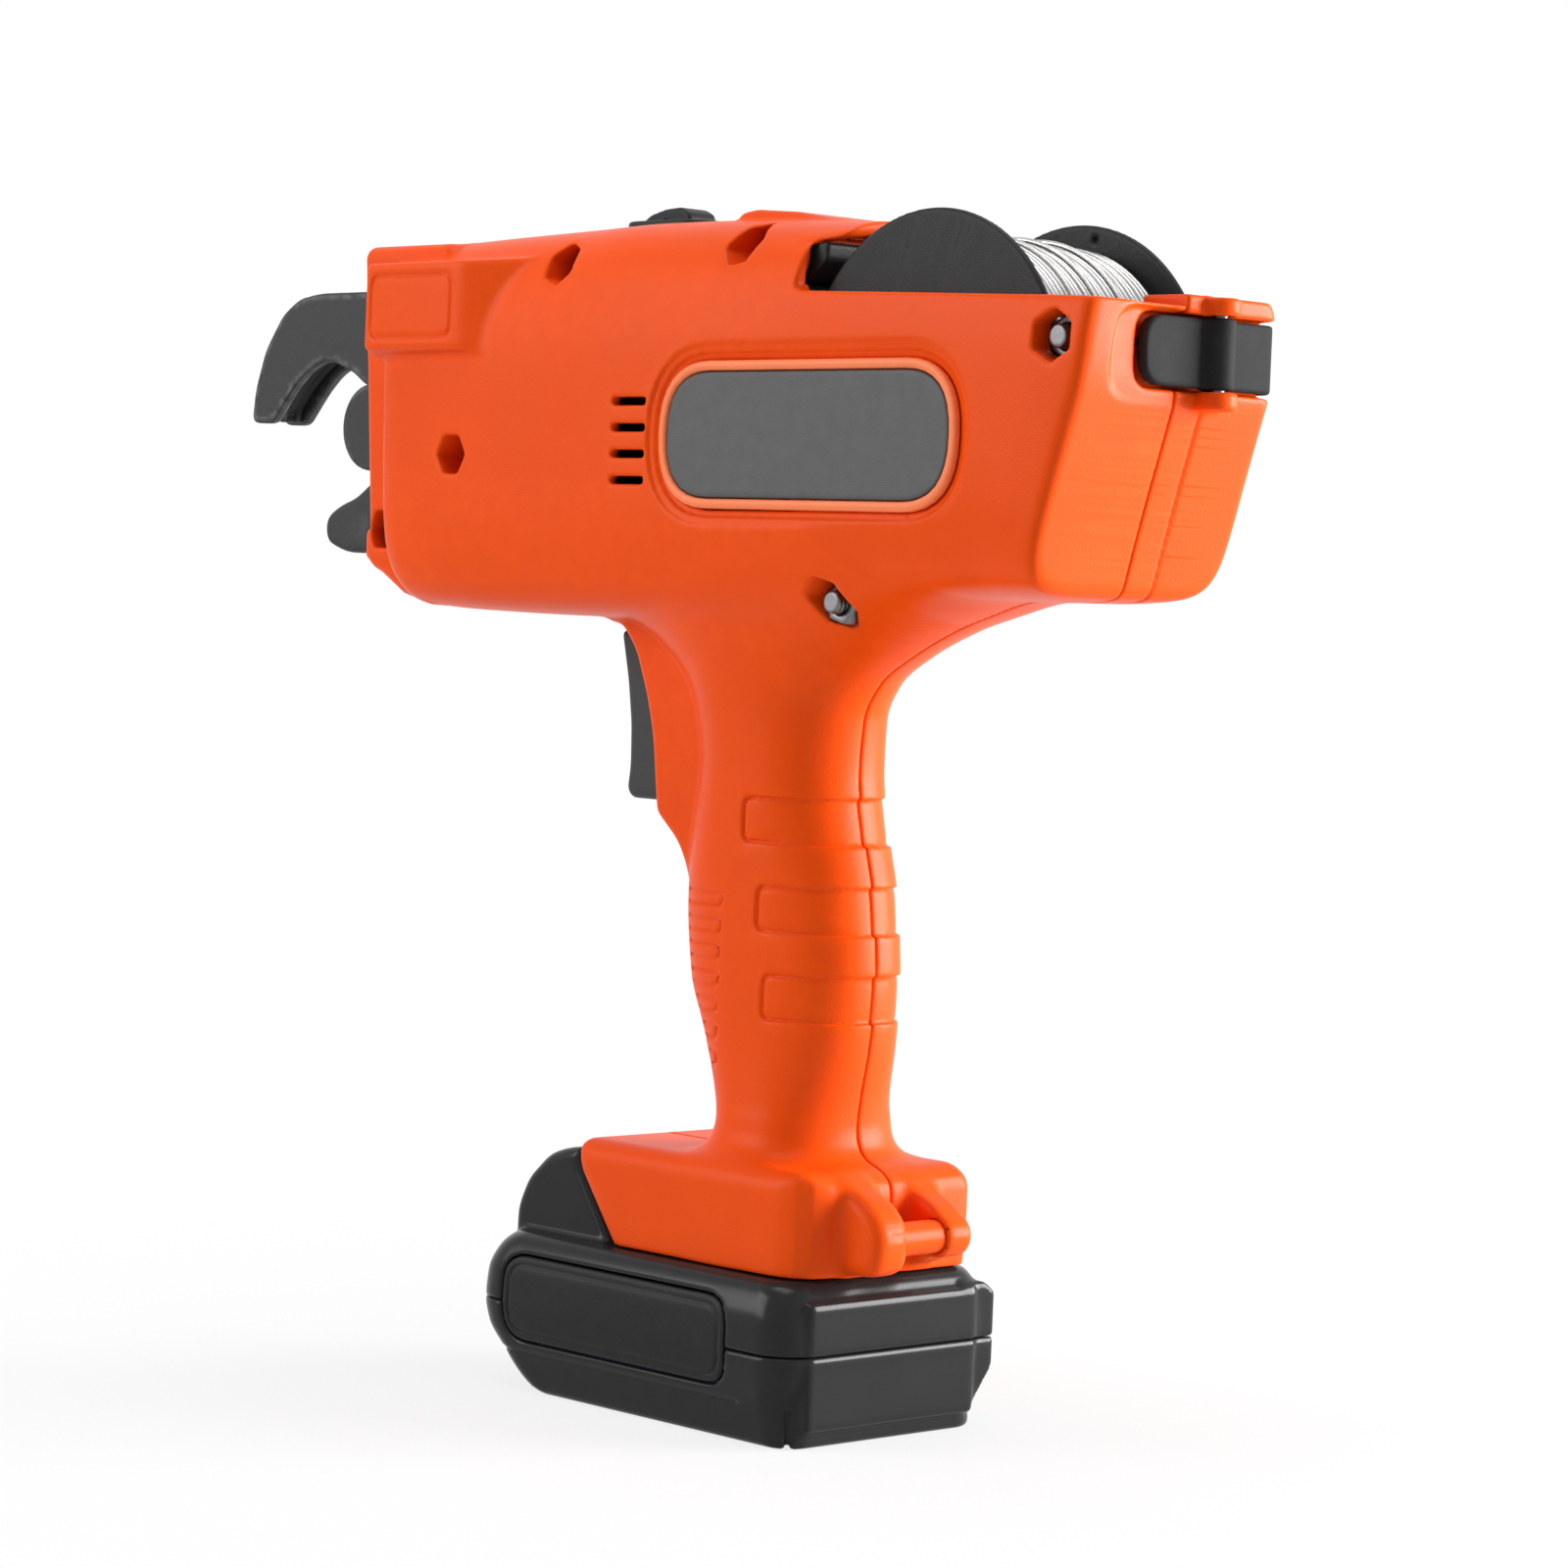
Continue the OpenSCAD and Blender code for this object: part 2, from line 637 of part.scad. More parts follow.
module shell_bolts() {
  color(steel) for (b = bolts) {
    difference() {
      union() {
        along_y(-b[3] - nut_height - 0.6, b[3], b[0], b[1], bolt_r);
        along_y(b[3], b[3] + bolt_r * 1.1, b[0], b[1], bolt_r * 1.75);
      }
      translate([b[0], b[3] + bolt_r * 1.1 - 1.8, b[1]]) rotate([-90, 0, 0])
        cylinder(h = 5, r = bolt_r * 0.85, $fn = 6);
    }
  }
}
module shell_nuts() {
  color(steel) for (b = bolts)
    difference() {
      translate([b[0], -b[3], b[1]]) rotate([90, 0, 0]) rotate([0, 0, b[2]])
        cylinder(h = nut_height, r = nut_r, $fn = 6);
      along_y(-far, far, b[0], b[1], bolt_r + seat_gap);
    }
}
module strap_bar() {
  color(orange) along_y(-lug_out + 2.2, lug_out - 2.2, bar_x, bar_z, bar_r);
}

// Head block and jaws
module head_block() {
  color(grey) difference() {
    side(-nose_half + wall + seat_gap, nose_half - wall - seat_gap) polygon(rounded(frame_of(
      block_front, block_rear, body_bottom + 13 + seat_gap, body_top - 10 - seat_gap), 0.8));
    along_x(block_front - 1, block_rear + 1, 0, axis_z, sleeve_r + running_gap);
    along_x(block_front - 1, block_rear + 1, 0, wire_z, wire_r + 0.5);
  }
}
function hook_outline(x) = [
  [block_front, axis_z + 31.6], [-nose_reach - hook_reach * 0.58, axis_z + 31.3],
  [-nose_reach - hook_reach * 0.7, axis_z + 29.8],
  [-nose_reach - hook_reach * 0.8, axis_z + 25.8], [-nose_reach - hook_reach * 0.9, axis_z + 18],
  [-nose_reach - hook_reach * 0.97, axis_z + 9], [hook_tip, axis_z + 1.2],
  [hook_tip + 8.5, axis_z + 1.1], [-nose_reach - hook_reach * 0.82 - x, axis_z + 4],
  [-nose_reach - hook_reach * 0.745 - x, axis_z + 9], [-nose_reach - hook_reach * 0.665 - x, axis_z + 13],
  [-nose_reach - hook_reach * 0.58, axis_z + 15.2 + x],
  [-nose_reach - hook_reach * 0.51, axis_z + 15.6 + x],
  [-nose_reach - hook_reach * 0.38, axis_z + 13 + x], [-nose_reach - hook_reach * 0.29, axis_z + 9.5 + x],
  [block_front, axis_z + 9.5 + x]
];
module hook_plate(q) {
  color(grey) side(q < 0 ? -hook_half : hook_half - hook_plate,
    q < 0 ? -hook_half + hook_plate : hook_half)
    polygon(rounded(hook_outline(0), 1.6, 2));
}
module hook_plate_left() {
  hook_plate(-1);
}
module hook_plate_right() {
  hook_plate(1);
}
module hook_channel() {
  color(black) difference() {
    side(-hook_half + hook_plate, hook_half - hook_plate) polygon(rounded(hook_outline(2.2), 1.4, 2));
    box([-nose_reach - hook_reach * 0.64, -far, axis_z + 29.8],
      [-nose_reach - hook_reach * 0.47, far, far * 2]);
    along_x(block_front - 16, block_front + 1, 0, wire_z, wire_r + 0.5);
  }
}
module rest_plates() {
  color(grey) for (y = [-rest_out, rest_in]) {
    along_y(y, y + rest_out - rest_in, rest_x, axis_z, rest_radius);
    box([rest_x, y, axis_z - 8.6], [block_front, y + rest_out - rest_in, axis_z + 8.6]);
  }
}
module lower_jaw() {
  w = lower_jaw_width / 2;
  color(grey) difference() {
    side(-w, w) polygon(rounded([
      [block_front, axis_z - 29], [rest_x - 9.2, axis_z - 28.6], [rest_x - 15.6, axis_z - 26.2],
      [rest_x - 15.8, axis_z - 21.6],
      [rest_x - 11, axis_z - 19], [rest_x - 6, axis_z - 17], [rest_x + 1, axis_z - 12.2],
      [block_front, axis_z - 10]
    ], 3, 4));
    along_y(-far, far, bolts[0][0], bolts[0][1], bolt_r + 0.1);
  }
}

// Twisting drive
module twister() {
  color(steel) {
    along_x(block_front - 6, gearbox_front + 6, 0, axis_z, shaft_r);
    along_x(block_front - 6, block_rear + 3, 0, axis_z, sleeve_r);
    for (q = [-1, 1])
      side(-1.6, 1.6) polygon(rounded([
        [block_front - 5.5, axis_z + q * 0.8], [block_front - 5.5, axis_z + q * 4.6],
        [block_front - 26, axis_z + q * 4.6],
        [block_front - 28.5, axis_z + q * 1.4], [block_front - 25, axis_z + q * 1.1],
        [block_front - 23, axis_z + q * 2.6],
        [block_front - 9, axis_z + q * 2.6]
      ], 0.8, 2));
  }
}
module gearbox() {
  color(grey) difference() {
    along_x(gearbox_front, motor_front - seat_gap, 0, axis_z, gearbox_r);
    along_x(gearbox_front - 1, gearbox_front + 7, 0, axis_z, shaft_r + running_gap);
  }
}
module twist_motor() {
  color(steel) {
    along_x(motor_front, motor_front + motor_length - 4, 0, axis_z, motor_r);
    along_x(motor_front + motor_length - 4, motor_front + motor_length - seat_gap, 0, axis_z,
      motor_r * 0.45);
  }
}

// Wire feed: a toothed wheel on the feed motor and its idler, grooved for the wire
function involute(base, a) = [base * (cos(a) + a * PI / 180 * sin(a)),
  base * (sin(a) - a * PI / 180 * cos(a))];
function roll(base, r) = r <= base ? 0 : sqrt(pow(r / base, 2) - 1) * 180 / PI;
function turn(p, a) = [p[0] * cos(a) - p[1] * sin(a), p[0] * sin(a) + p[1] * cos(a)];
function gear_outline(m, z, slack) =
  let (pitch = m * z / 2, base = pitch * cos(24), tip = pitch + m * 0.92, root = pitch - m * 1.15)
  let (at_pitch = involute(base, roll(base, pitch)))
  let (half = 90 / z - slack / pitch * 90 / PI)
  let (start = half + atan2(at_pitch[1], at_pitch[0]))
  [
    for (k = [0:z - 1]) each concat(
      [turn([root, 0], k * 360 / z - start - 1.5)],
      [for (i = [0:5]) turn(involute(base, roll(base, tip) * i / 5), k * 360 / z - start)],
      [for (i = [5:-1:0]) let (p = involute(base, roll(base, tip) * i / 5))
        turn([p[0], -p[1]], k * 360 / z + start)],
      [turn([root, 0], k * 360 / z + start + 1.5)]
    )
  ];
module feed_gear(x, z, angle, bore) {
  difference() {
    side(-gear_width / 2, gear_width / 2) translate([x, z]) rotate(angle)
      polygon(gear_outline(gear_module, gear_teeth, gear_backlash));
    translate([x, 0, z]) rotate([90, 0, 0]) rotate_extrude()
      translate([gear_r - wire_r - 0.3, -wire_r - 0.3]) square([10, wire_diameter + 0.6]);
    along_y(-far, far, x, z, bore);
  }
}
module drive_gear() {
  color(steel) {
    feed_gear(feed_x, drive_z, -90, 1.45);
    along_y(bracket_y - bracket_plate - 3, gear_width / 2, feed_x, drive_z, 1.5);
  }
}
module idler_gear() {
  color(steel) feed_gear(feed_x, idler_z, 90 + 180 / gear_teeth, 2 + running_gap);
}
module idler_pin() {
  color(steel) along_y(bracket_y - bracket_plate, gear_width / 2 + 1.5, feed_x, idler_z, 2);
}
module feed_bracket() {
  color(grey) difference() {
    side(bracket_y - bracket_plate, bracket_y) polygon(rounded(frame_of(
      feed_x - feed_motor_r - 1, feed_x + feed_motor_r + 1, idler_z - 4.4, drive_z + feed_motor_r), 2));
    along_y(-far, far, feed_x, drive_z, 1.5 + running_gap);
    along_y(-far, far, feed_x, idler_z, 2 + seat_gap / 2);
  }
}
module feed_motor() {
  color(steel) difference() {
    along_y(-body_half + wall - 0.5, bracket_y - bracket_plate - seat_gap, feed_x, drive_z, feed_motor_r);
    along_y(bracket_y - bracket_plate - 4, 0, feed_x, drive_z, 1.5 + running_gap);
  }
}
// Guide block where the wire enters from the spool chamber
inlet_z = spool_z + 24;
inlet_x = spool_x - chamber_r - 0.5;
module wire_inlet() {
  color(black) difference() {
    union() {
      box([26.5 + seat_gap, -chamber_half + 1.2, spool_z + 11], [inlet_x, 8, body_top - 10.5]);
      side(-chamber_half + 1.2, 8) polygon([
        [26.5 + seat_gap, body_top - 15], [inlet_x + 2.5, body_top - 15], [inlet_x + 8.2, body_top - 10],
        [inlet_x + 8.2, body_top - 7.2], [26.5 + seat_gap, body_top - 7.2]
      ]);
    }
    box([inlet_x - 0.1, -1.3, spool_z + 11], [inlet_x + 20, 1.3, far * 2]);
    lead_rod([wire_points[1], wire_points[2]], wire_r + 0.5);
    box([inlet_x - 1.2, -chamber_half + 3.5, spool_z + 13], [inlet_x + 1, -6, body_top - 17]);
  }
}
// Wire from the coil through the inlet and between the feed gears to the hook
lead_r = coil_r + wire_r + 0.8;
lead_angle = 180 - atan2(inlet_z - spool_z,
  spool_x - inlet_x) - acos(lead_r / norm([inlet_z - spool_z, spool_x - inlet_x]));
wire_points = [
  [spool_x + lead_r * cos(lead_angle), 0, spool_z + lead_r * sin(lead_angle)],
  [inlet_x, 0, inlet_z],
  [feed_x + 14, 0, wire_z],
  [block_front - 14, 0, wire_z]
];
module lead_rod(points, r) {
  for (i = [0:len(points) - 2])
    let (v = points[i + 1] - points[i])
      translate(points[i]) rotate([0, acos(v[2] / norm(v)), atan2(v[1], v[0])])
        cylinder(h = norm(v), r = r);
}
module wire_lead() {
  last = len(wire_points) - 1;
  color(steel) skin([
    for (k = [0:last])
      let (a = unit(wire_points[min(k + 1, last)] - wire_points[max(k - 1, 0)]))
      [for (i = [0:7]) wire_points[k] + wire_r * [a[2] * sin(i * 45), cos(i * 45), -a[0] * sin(i * 45)]]
  ]);
}
module control_board() {
  color([0.1, 0.35, 0.2]) {
    box([-63.5, -20.8, body_bottom + 7.05], [19.5, 20.8, body_bottom + 8.6]);
    for (x = [-50, -20]) box([x, -12, body_bottom + 8.6], [x + 11, 12, body_bottom + 13]);
    along_z(body_bottom + 8.6, body_bottom + 18, 8, -10, 4);
  }
}

// Trigger, its spring and its switch
module trigger() {
  color(grey) difference() {
    side(-trigger_half, trigger_half) polygon(rounded(trigger_outline(), 1.5, 3));
    along_x(-22, -15, 0, switch_z, 4);
  }
}
module trigger_switch() {
  color(black) box([switch_x + 0.1, -5, switch_z - 7], [switch_x + 16, 5, switch_z + 7]);
}
module trigger_spring() {
  turns = 3.5;
  reach = switch_x + 0.1 + 22 - seat_gap * 2;
  rings = 3.5 * 12;
  color(steel) skin([
    for (k = [0:rings])
      let (a = k * 30)
      let (x = -22 + seat_gap + 0.4 + (reach - 0.8) * k / rings)
      [for (i = [5:-1:0]) [x + 0.4 * sin(i * 60), (3 + 0.4 * cos(i * 60)) * cos(a),
        switch_z + (3 + 0.4 * cos(i * 60)) * sin(a)]]
  ]);
}

// Power switch
module switch_bezel() {
  color(black) difference() {
    union() {
      translate([0, 0, bezel_z]) linear_extrude(height = 3) bezel_shape(0);
      translate([0, 0, bezel_z - 5]) linear_extrude(height = 5.5) bezel_shape(-2.6 - seat_gap, 0.5);
    }
    box([rocker_x - rocker_length / 2 - moving_gap, -rocker_width / 2 - moving_gap, rocker_z - 5],
      [rocker_x + rocker_length / 2 + moving_gap, rocker_width / 2 + moving_gap, far * 2]);
    along_y(-rocker_width / 2 - 1.2, rocker_width / 2 + 1.2, rocker_x, rocker_z, 1 + running_gap);
  }
}
module power_rocker() {
  l = rocker_length / 2;
  color(black) translate([rocker_x, 0, rocker_z]) rotate([0, rocker_tilt, 0]) {
    side(-rocker_width / 2, rocker_width / 2) polygon(rounded([
      [-l + 0.4, -1.2], [-2.4, -3], [2.4, -3], [l - 0.4, -1.2], [l - 0.3, 2.3], [l * 0.45, 2.6],
      [0, 3.3], [-l * 0.45, 2.6], [-l + 0.3, 2.3]
    ], 0.7, 2));
    along_y(-rocker_width / 2 - 1, rocker_width / 2 + 1, 0, 0, 1);
  }
}
module terminal_block() {
  color(black) {
    box([rail_rear - 14, -rail_head + 2, foot_bottom + 8.4 + moving_gap],
      [rail_rear + 1, rail_head - 2, foot_bottom + 17]);
    box([rail_rear + 0.9, -15, foot_bottom + foot_plate + seat_gap],
      [rail_rear + 3, 15, foot_bottom + 17]);
  }
}

// Spool with its wire, between a fixed hub and the hub on the lever
module spool_hub() {
  color(black) {
    along_y(-chamber_half - 2 + seat_gap, -spool_half - moving_gap, spool_x, spool_z, spool_bore_r + 2);
    along_y(-spool_half - moving_gap, -spool_half + 6, spool_x, spool_z, spool_bore_r - running_gap);
  }
}
module spool() {
  color(black) difference() {
    union() {
      for (y = [-spool_half, spool_half - flange_thickness])
        along_y(y, y + flange_thickness, spool_x, spool_z, spool_r);
      along_y(-spool_half, spool_half, spool_x, spool_z, spool_core_r);
    }
    along_y(-far, far, spool_x, spool_z, spool_bore_r);
    along_y(spool_half - flange_thickness - 1, far, spool_x + spool_r * 0.62, spool_z + spool_r * 0.62,
      1);
  }
}
module wire_core() {
  color(steel) difference() {
    along_y(-spool_half + flange_thickness + seat_gap, spool_half - flange_thickness - seat_gap,
      spool_x, spool_z, core_r);
    along_y(-far, far, spool_x, spool_z, spool_core_r + seat_gap);
  }
}
// Outer layer of the wire: one tube on a helix, straight at both ends
winding_rings = wire_loops * loop_rings;
function winding_at(k) = let (a = k * 360 / loop_rings)
  [spool_x + winding_r * cos(a), -winding_half + winding_pitch * k / loop_rings,
    spool_z + winding_r * sin(a)];
function winding_way(k) = let (a = k * 360 / loop_rings)
  unit([-sin(a) * winding_r * 2 * PI, winding_pitch, cos(a) * winding_r * 2 * PI]);
function tube_ring(p, way) =
  let (out = unit([p[0] - spool_x, 0, p[2] - spool_z]))
  let (across = cross(way, out))
  [for (i = [0:5]) p + wire_r * (unit(out) * cos(i * 60) + across * sin(i * 60))];
winding_gap = min([
  for (k = [0:winding_rings - loop_rings - 6]) for (j = [loop_rings - 6:loop_rings + 6])
    norm(winding_at(k + j) - winding_at(k))
]) - wire_diameter;
echo(winding_self_gap_mm = winding_gap);
module wire_winding() {
  first = winding_at(0);
  last = winding_at(winding_rings);
  a = winding_way(0);
  b = winding_way(winding_rings);
  color(steel) skin(concat(
    [tube_ring(first - a * wire_diameter, a)],
    [for (k = [0:winding_rings]) tube_ring(winding_at(k), winding_way(k))],
    [tube_ring(last + b * wire_diameter, b)]
  ));
}

// Lever that frees the spool: pressed at its pad, it swings the right hub out
module spool_lever() {
  z0 = lever_low;
  z1 = lever_high;
  y1 = body_half - 0.5;
  color(black) difference() {
    union() {
      along_z(z0, z1, lever_x, lever_y, knuckle_r);
      box([tray_rear - 3, -11.5, z0], [tray_rear - 3 + strap, lever_y, z1]);
      box([tray_rear - 3.4, lever_y, z0], [tray_rear - 3.4 + strap, y1 - 4, z1]);
      translate([0, 0, z0]) linear_extrude(height = z1 - z0) polygon([
        [tray_rear - 3.4, y1 - 4.3], [tray_rear - 3.4 + strap, y1 - 4.3],
        [tray_rear - 3.4 + strap, y1 - 3],
        [tray_rear - 3.8, y1], [tray_rear - 9, y1], [tray_rear - 9, y1 - strap],
        [tray_rear - 3.4, y1 - strap]
      ]);
      box([spool_x, y1 - strap, z0], [tray_rear - 8.9, y1, z1]);
      along_y(y1 - strap, y1, spool_x, spool_z, 12);
      along_y(spool_half + moving_gap + 0.6, y1 - 0.5, spool_x, spool_z, spool_bore_r + 1);
      translate([spool_x, spool_half - 4.4, spool_z]) rotate([-90, 0, 0])
        cylinder(h = 5.4 + moving_gap, r1 = spool_bore_r - 3.6, r2 = spool_bore_r - 0.1);
    }
    along_z(z0 - 1, z1 + 1, lever_x, lever_y, lever_pin_r + running_gap);
  }
}
module lever_pin() {
  color(steel) along_z(lever_low - 2.8 + seat_gap, lever_high + 3.5 + moving_gap, lever_x, lever_y,
    lever_pin_r);
}

// Battery
module case_form(s) {
  f = battery_front + s;
  r = battery_rear - s;
  w = battery_half - s;
  h = battery_height - s;
  skin([
    case_ring(s, f + 18 - s, r - 5 + s / 2, w - 6 + s / 2, 6),
    case_ring(1.5 + s / 2, f + 14 - s, r - 3.8, w - 4.2, 7),
    case_ring(8, f + 5.5, r - 2.3, w - 1.9, 8),
    case_ring(14, f + 1, r - 1.3, w - 0.6, 9),
    case_ring(battery_parting, f, r - 0.6, w, 9),
    case_ring(battery_parting + 6, f + 0.6, r - 0.8, w - 0.1, 9),
    case_ring(h - 3.8, f + 3, r - 1.8, w - 1.2, 9),
    case_ring(h - 0.8, f + 6, r - 3.4, w - 3, 8),
    case_ring(h, f + 7.5, r - 4.6, w - 4.2, 7)
  ]);
}
function hump_outline(s) = [
  [battery_front + 4 + s, battery_height - 3], [battery_front + 4.2 + s, battery_height + 4.5],
  [battery_front + 7.5 + s, battery_height + 11.2 - s],
  [battery_front + 14.2 + s, battery_height + 17 - s],
  [battery_front + 20 + s / 2, battery_height + 18.8 - s],
  [foot_front - moving_gap - s, battery_height + 19.6 - s],
  [foot_front - moving_gap - s, foot_bottom + 15.5],
  [foot_front + 4.1 - moving_gap - s, foot_bottom + 9.4],
  [foot_front + 11 - moving_gap - s, foot_bottom - moving_gap], [foot_front + 11 - s, battery_height - 3]
];
module label_pocket() {
  side(-far, -battery_half + label_depth)
    polygon(rounded(frame_of(battery_front + 12, battery_rear - 20, label_low, label_high), 3));
}
module battery_label() {
  color(black) side(-battery_half - 0.1, -battery_half + label_depth - seat_gap)
    polygon(rounded(frame_of(
      battery_front + 12 + seat_gap, battery_rear - 20 - seat_gap, label_low + seat_gap,
        label_high - seat_gap), 3));
}
module rear_panel() {
  box([battery_rear - 6, -24.3, 4], [battery_rear, 24.3, battery_height - 7]);
}
// Case with the flat panel that stands out at its rear
module case_mass() {
  case_form(0);
  intersection() {
    box([battery_rear - 14, battery_half - 12, 4],
      [battery_rear - 1, battery_half - 0.4, battery_height - 3]);
    translate([0, 2.2, 0]) case_form(0);
  }
  intersection() {
    rear_panel();
    translate([3, 0, 0]) case_form(0);
  }
}
module battery_lower_case() {
  color(black) difference() {
    intersection() {
      case_mass();
      box([-far, -far, -1], [far, far, battery_parting]);
    }
    case_form(case_wall);
    label_pocket();
  }
}
release_half = 9;
release_low = battery_height + 3;
release_high = battery_height + 10;
module battery_upper_case() {
  color(black) difference() {
    union() {
      intersection() {
        case_mass();
        box([-far, -far, battery_parting], [far, far, far]);
      }
      side(-battery_half + 8.5, battery_half - 8.5) polygon(rounded(hump_outline(0), 3, 3));
      box([rail_front, -rail_neck, battery_height - 2],
        [rail_rear, rail_neck, foot_bottom + foot_plate + moving_gap + 0.1]);
      box([rail_front, -rail_head, foot_bottom + foot_plate + moving_gap],
        [rail_rear, rail_head, foot_bottom + 8]);
    }
    difference() {
      case_form(case_wall);
      box([-far, -far, battery_height - 2.4], [far, far, far]);
    }
    side(-battery_half + 11, battery_half - 11) polygon(hump_outline(2.2));
    box([-far, -release_half - moving_gap, release_low - moving_gap],
      [battery_front + 13, release_half + moving_gap, release_high + moving_gap]);
    label_pocket();
    for (y = [-8, 0, 8]) box([rail_rear - 16, y - 1.2, battery_height - 4],
      [rail_rear + 1, y + 1.2, far]);
  }
}
module battery_cells() {
  color([0.2, 0.3, 0.55]) for (k = [0 : cells_across - 1])
    along_x(cell_x, cell_x + cell_length, (k - (cells_across - 1) / 2) * cell_pitch,
      case_wall + cell_room + cell_diameter / 2, cell_diameter / 2);
}
module battery_contacts() {
  color([0.8, 0.65, 0.3]) for (y = [-8, 0, 8])
    box([rail_rear - 15, y - 1.1, battery_height - 6], [rail_rear - 2, y + 1.1, foot_bottom + 7]);
}
module battery_release() {
  color(black) {
    side(-release_half, release_half) polygon(rounded([
      [battery_front + 3.2, release_low], [battery_front + 10, release_low],
      [battery_front + 10, release_high], [battery_front + 6.2, release_high]
    ], 1, 3));
    box([battery_front + 9.6, -release_half - 2, release_low + 1],
      [battery_front + 11.2, release_half + 2, release_high - 2]);
  }
}

left_shell();
right_shell();
name_plate();
shell_bolts();
shell_nuts();
strap_bar();
head_block();
hook_plate_left();
hook_plate_right();
hook_channel();
rest_plates();
lower_jaw();
twister();
gearbox();
twist_motor();
feed_motor();
feed_bracket();
drive_gear();
idler_gear();
idler_pin();
wire_inlet();
control_board();
trigger();
trigger_spring();
trigger_switch();
switch_bezel();
power_rocker();
terminal_block();
spool_hub();
spool();
wire_core();
wire_winding();
wire_lead();
spool_lever();
lever_pin();
battery_upper_case();
battery_lower_case();
battery_cells();
battery_label();
battery_contacts();
battery_release();
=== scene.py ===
import json
import bpy
import numpy as np
from mathutils import Matrix, Vector


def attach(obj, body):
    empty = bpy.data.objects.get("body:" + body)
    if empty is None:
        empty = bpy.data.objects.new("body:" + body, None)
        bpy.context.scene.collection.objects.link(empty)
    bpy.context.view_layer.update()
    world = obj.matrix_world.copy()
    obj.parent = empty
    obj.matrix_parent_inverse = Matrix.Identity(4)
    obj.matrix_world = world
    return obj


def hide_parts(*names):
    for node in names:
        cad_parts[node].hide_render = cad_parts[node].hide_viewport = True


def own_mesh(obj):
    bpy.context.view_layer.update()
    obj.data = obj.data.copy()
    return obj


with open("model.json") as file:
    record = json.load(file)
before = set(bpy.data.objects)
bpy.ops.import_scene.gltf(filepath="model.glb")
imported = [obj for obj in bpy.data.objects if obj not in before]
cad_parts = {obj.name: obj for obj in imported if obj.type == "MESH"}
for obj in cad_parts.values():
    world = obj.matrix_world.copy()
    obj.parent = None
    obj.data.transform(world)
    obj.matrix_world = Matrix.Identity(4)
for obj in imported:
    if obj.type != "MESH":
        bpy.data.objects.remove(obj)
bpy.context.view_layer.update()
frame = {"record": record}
scene = bpy.context.scene
mm = 0.001
white = (1.0, 1.0, 1.0, 1.0)

# Shader expressions


class Wire:
    """An output socket that can stand in a Python expression."""

    def __init__(self, tree, socket):
        self.tree = tree
        self.socket = socket

    def calc(self, operation, first, second):
        return self.tree.node("ShaderNodeMath", {"operation": operation}, {0: first, 1: second})

    def __add__(self, other):
        return self.calc("ADD", self, other)

    def __sub__(self, other):
        return self.calc("SUBTRACT", self, other)

    def __rsub__(self, other):
        return self.calc("SUBTRACT", other, self)

    def __mul__(self, other):
        return self.calc("MULTIPLY", self, other)

    __radd__, __rmul__ = __add__, __mul__


class Tree:
    """The node tree of a material or a world, and the one way to add a node to it."""

    def __init__(self, owner):
        owner.use_nodes = True
        self.tree = owner.node_tree

    def feed(self, socket, value):
        if isinstance(value, Wire):
            self.tree.links.new(value.socket, socket)
        else:
            socket.default_value = value

    def node(self, kind, settings=None, sockets=None, out=0):
        made = self.tree.nodes.new(kind)
        for name, value in (settings or {}).items():
            setattr(made, name, value)
        for name, value in (sockets or {}).items():
            self.feed(made.inputs[name], value)
        return Wire(self, made.outputs[out])

    def ramp(self, value, low, high):
        return self.node("ShaderNodeMapRange", {"clamp": True}, {
            "Value": value, "From Min": low, "From Max": high, "To Min": 0.0, "To Max": 1.0})

    def seen(self):
        """One for a ray from the camera, a gloss or a clear piece, and nought for any other."""
        camera, glossy, through = (
            self.node("ShaderNodeLightPath", out=name)
            for name in ("Is Camera Ray", "Is Glossy Ray", "Is Transmission Ray"))
        return self.ramp(camera + glossy + through, 0.0, 1.0)


class Look(Tree):
    """A procedural finish, built round one shader."""

    def __init__(self, name, color, rough, metal=0.0, specular=0.5):
        self.material = bpy.data.materials.new(name)
        super().__init__(self.material)
        self.shader = self.tree.nodes["Principled BSDF"]
        self.color = tuple(color) + (1.0,)
        self.set("Base Color", self.color)
        self.set("Roughness", rough)
        self.set("Metallic", metal)
        self.set("Specular IOR Level", specular)
        self.place = self.node("ShaderNodeTexCoord", out="Object")

    def set(self, name, value):
        self.feed(self.shader.inputs[name], value)

    def stretch(self, factors):
        return self.node("ShaderNodeVectorMath", {"operation": "MULTIPLY"}, {0: self.place, 1: factors})

    def noise(self, scale, detail=2.0, rough=0.5, place=None):
        return self.node("ShaderNodeTexNoise", {}, {
            "Vector": place or self.place, "Scale": scale, "Detail": detail, "Roughness": rough})

    def grains(self, scale):
        return self.node("ShaderNodeTexVoronoi", {}, {"Vector": self.place, "Scale": scale})

    def blend(self, factor, first, second):
        return self.node("ShaderNodeMix", {"data_type": "RGBA"}, {0: factor, 6: first, 7: second}, out=2)

    def shade(self, factor):
        return tuple(min(c * factor, 1.0) for c in self.color[:3]) + (1.0,)

    def edge(self):
        return self.node("ShaderNodeAttribute", {"attribute_name": "edge"}, out="Fac")

    def bump(self, height, depth):
        """Relief with a depth in millimetres."""
        self.set("Normal", self.node("ShaderNodeBump", {}, {
            "Height": height, "Distance": depth * mm, "Strength": 1.0}))


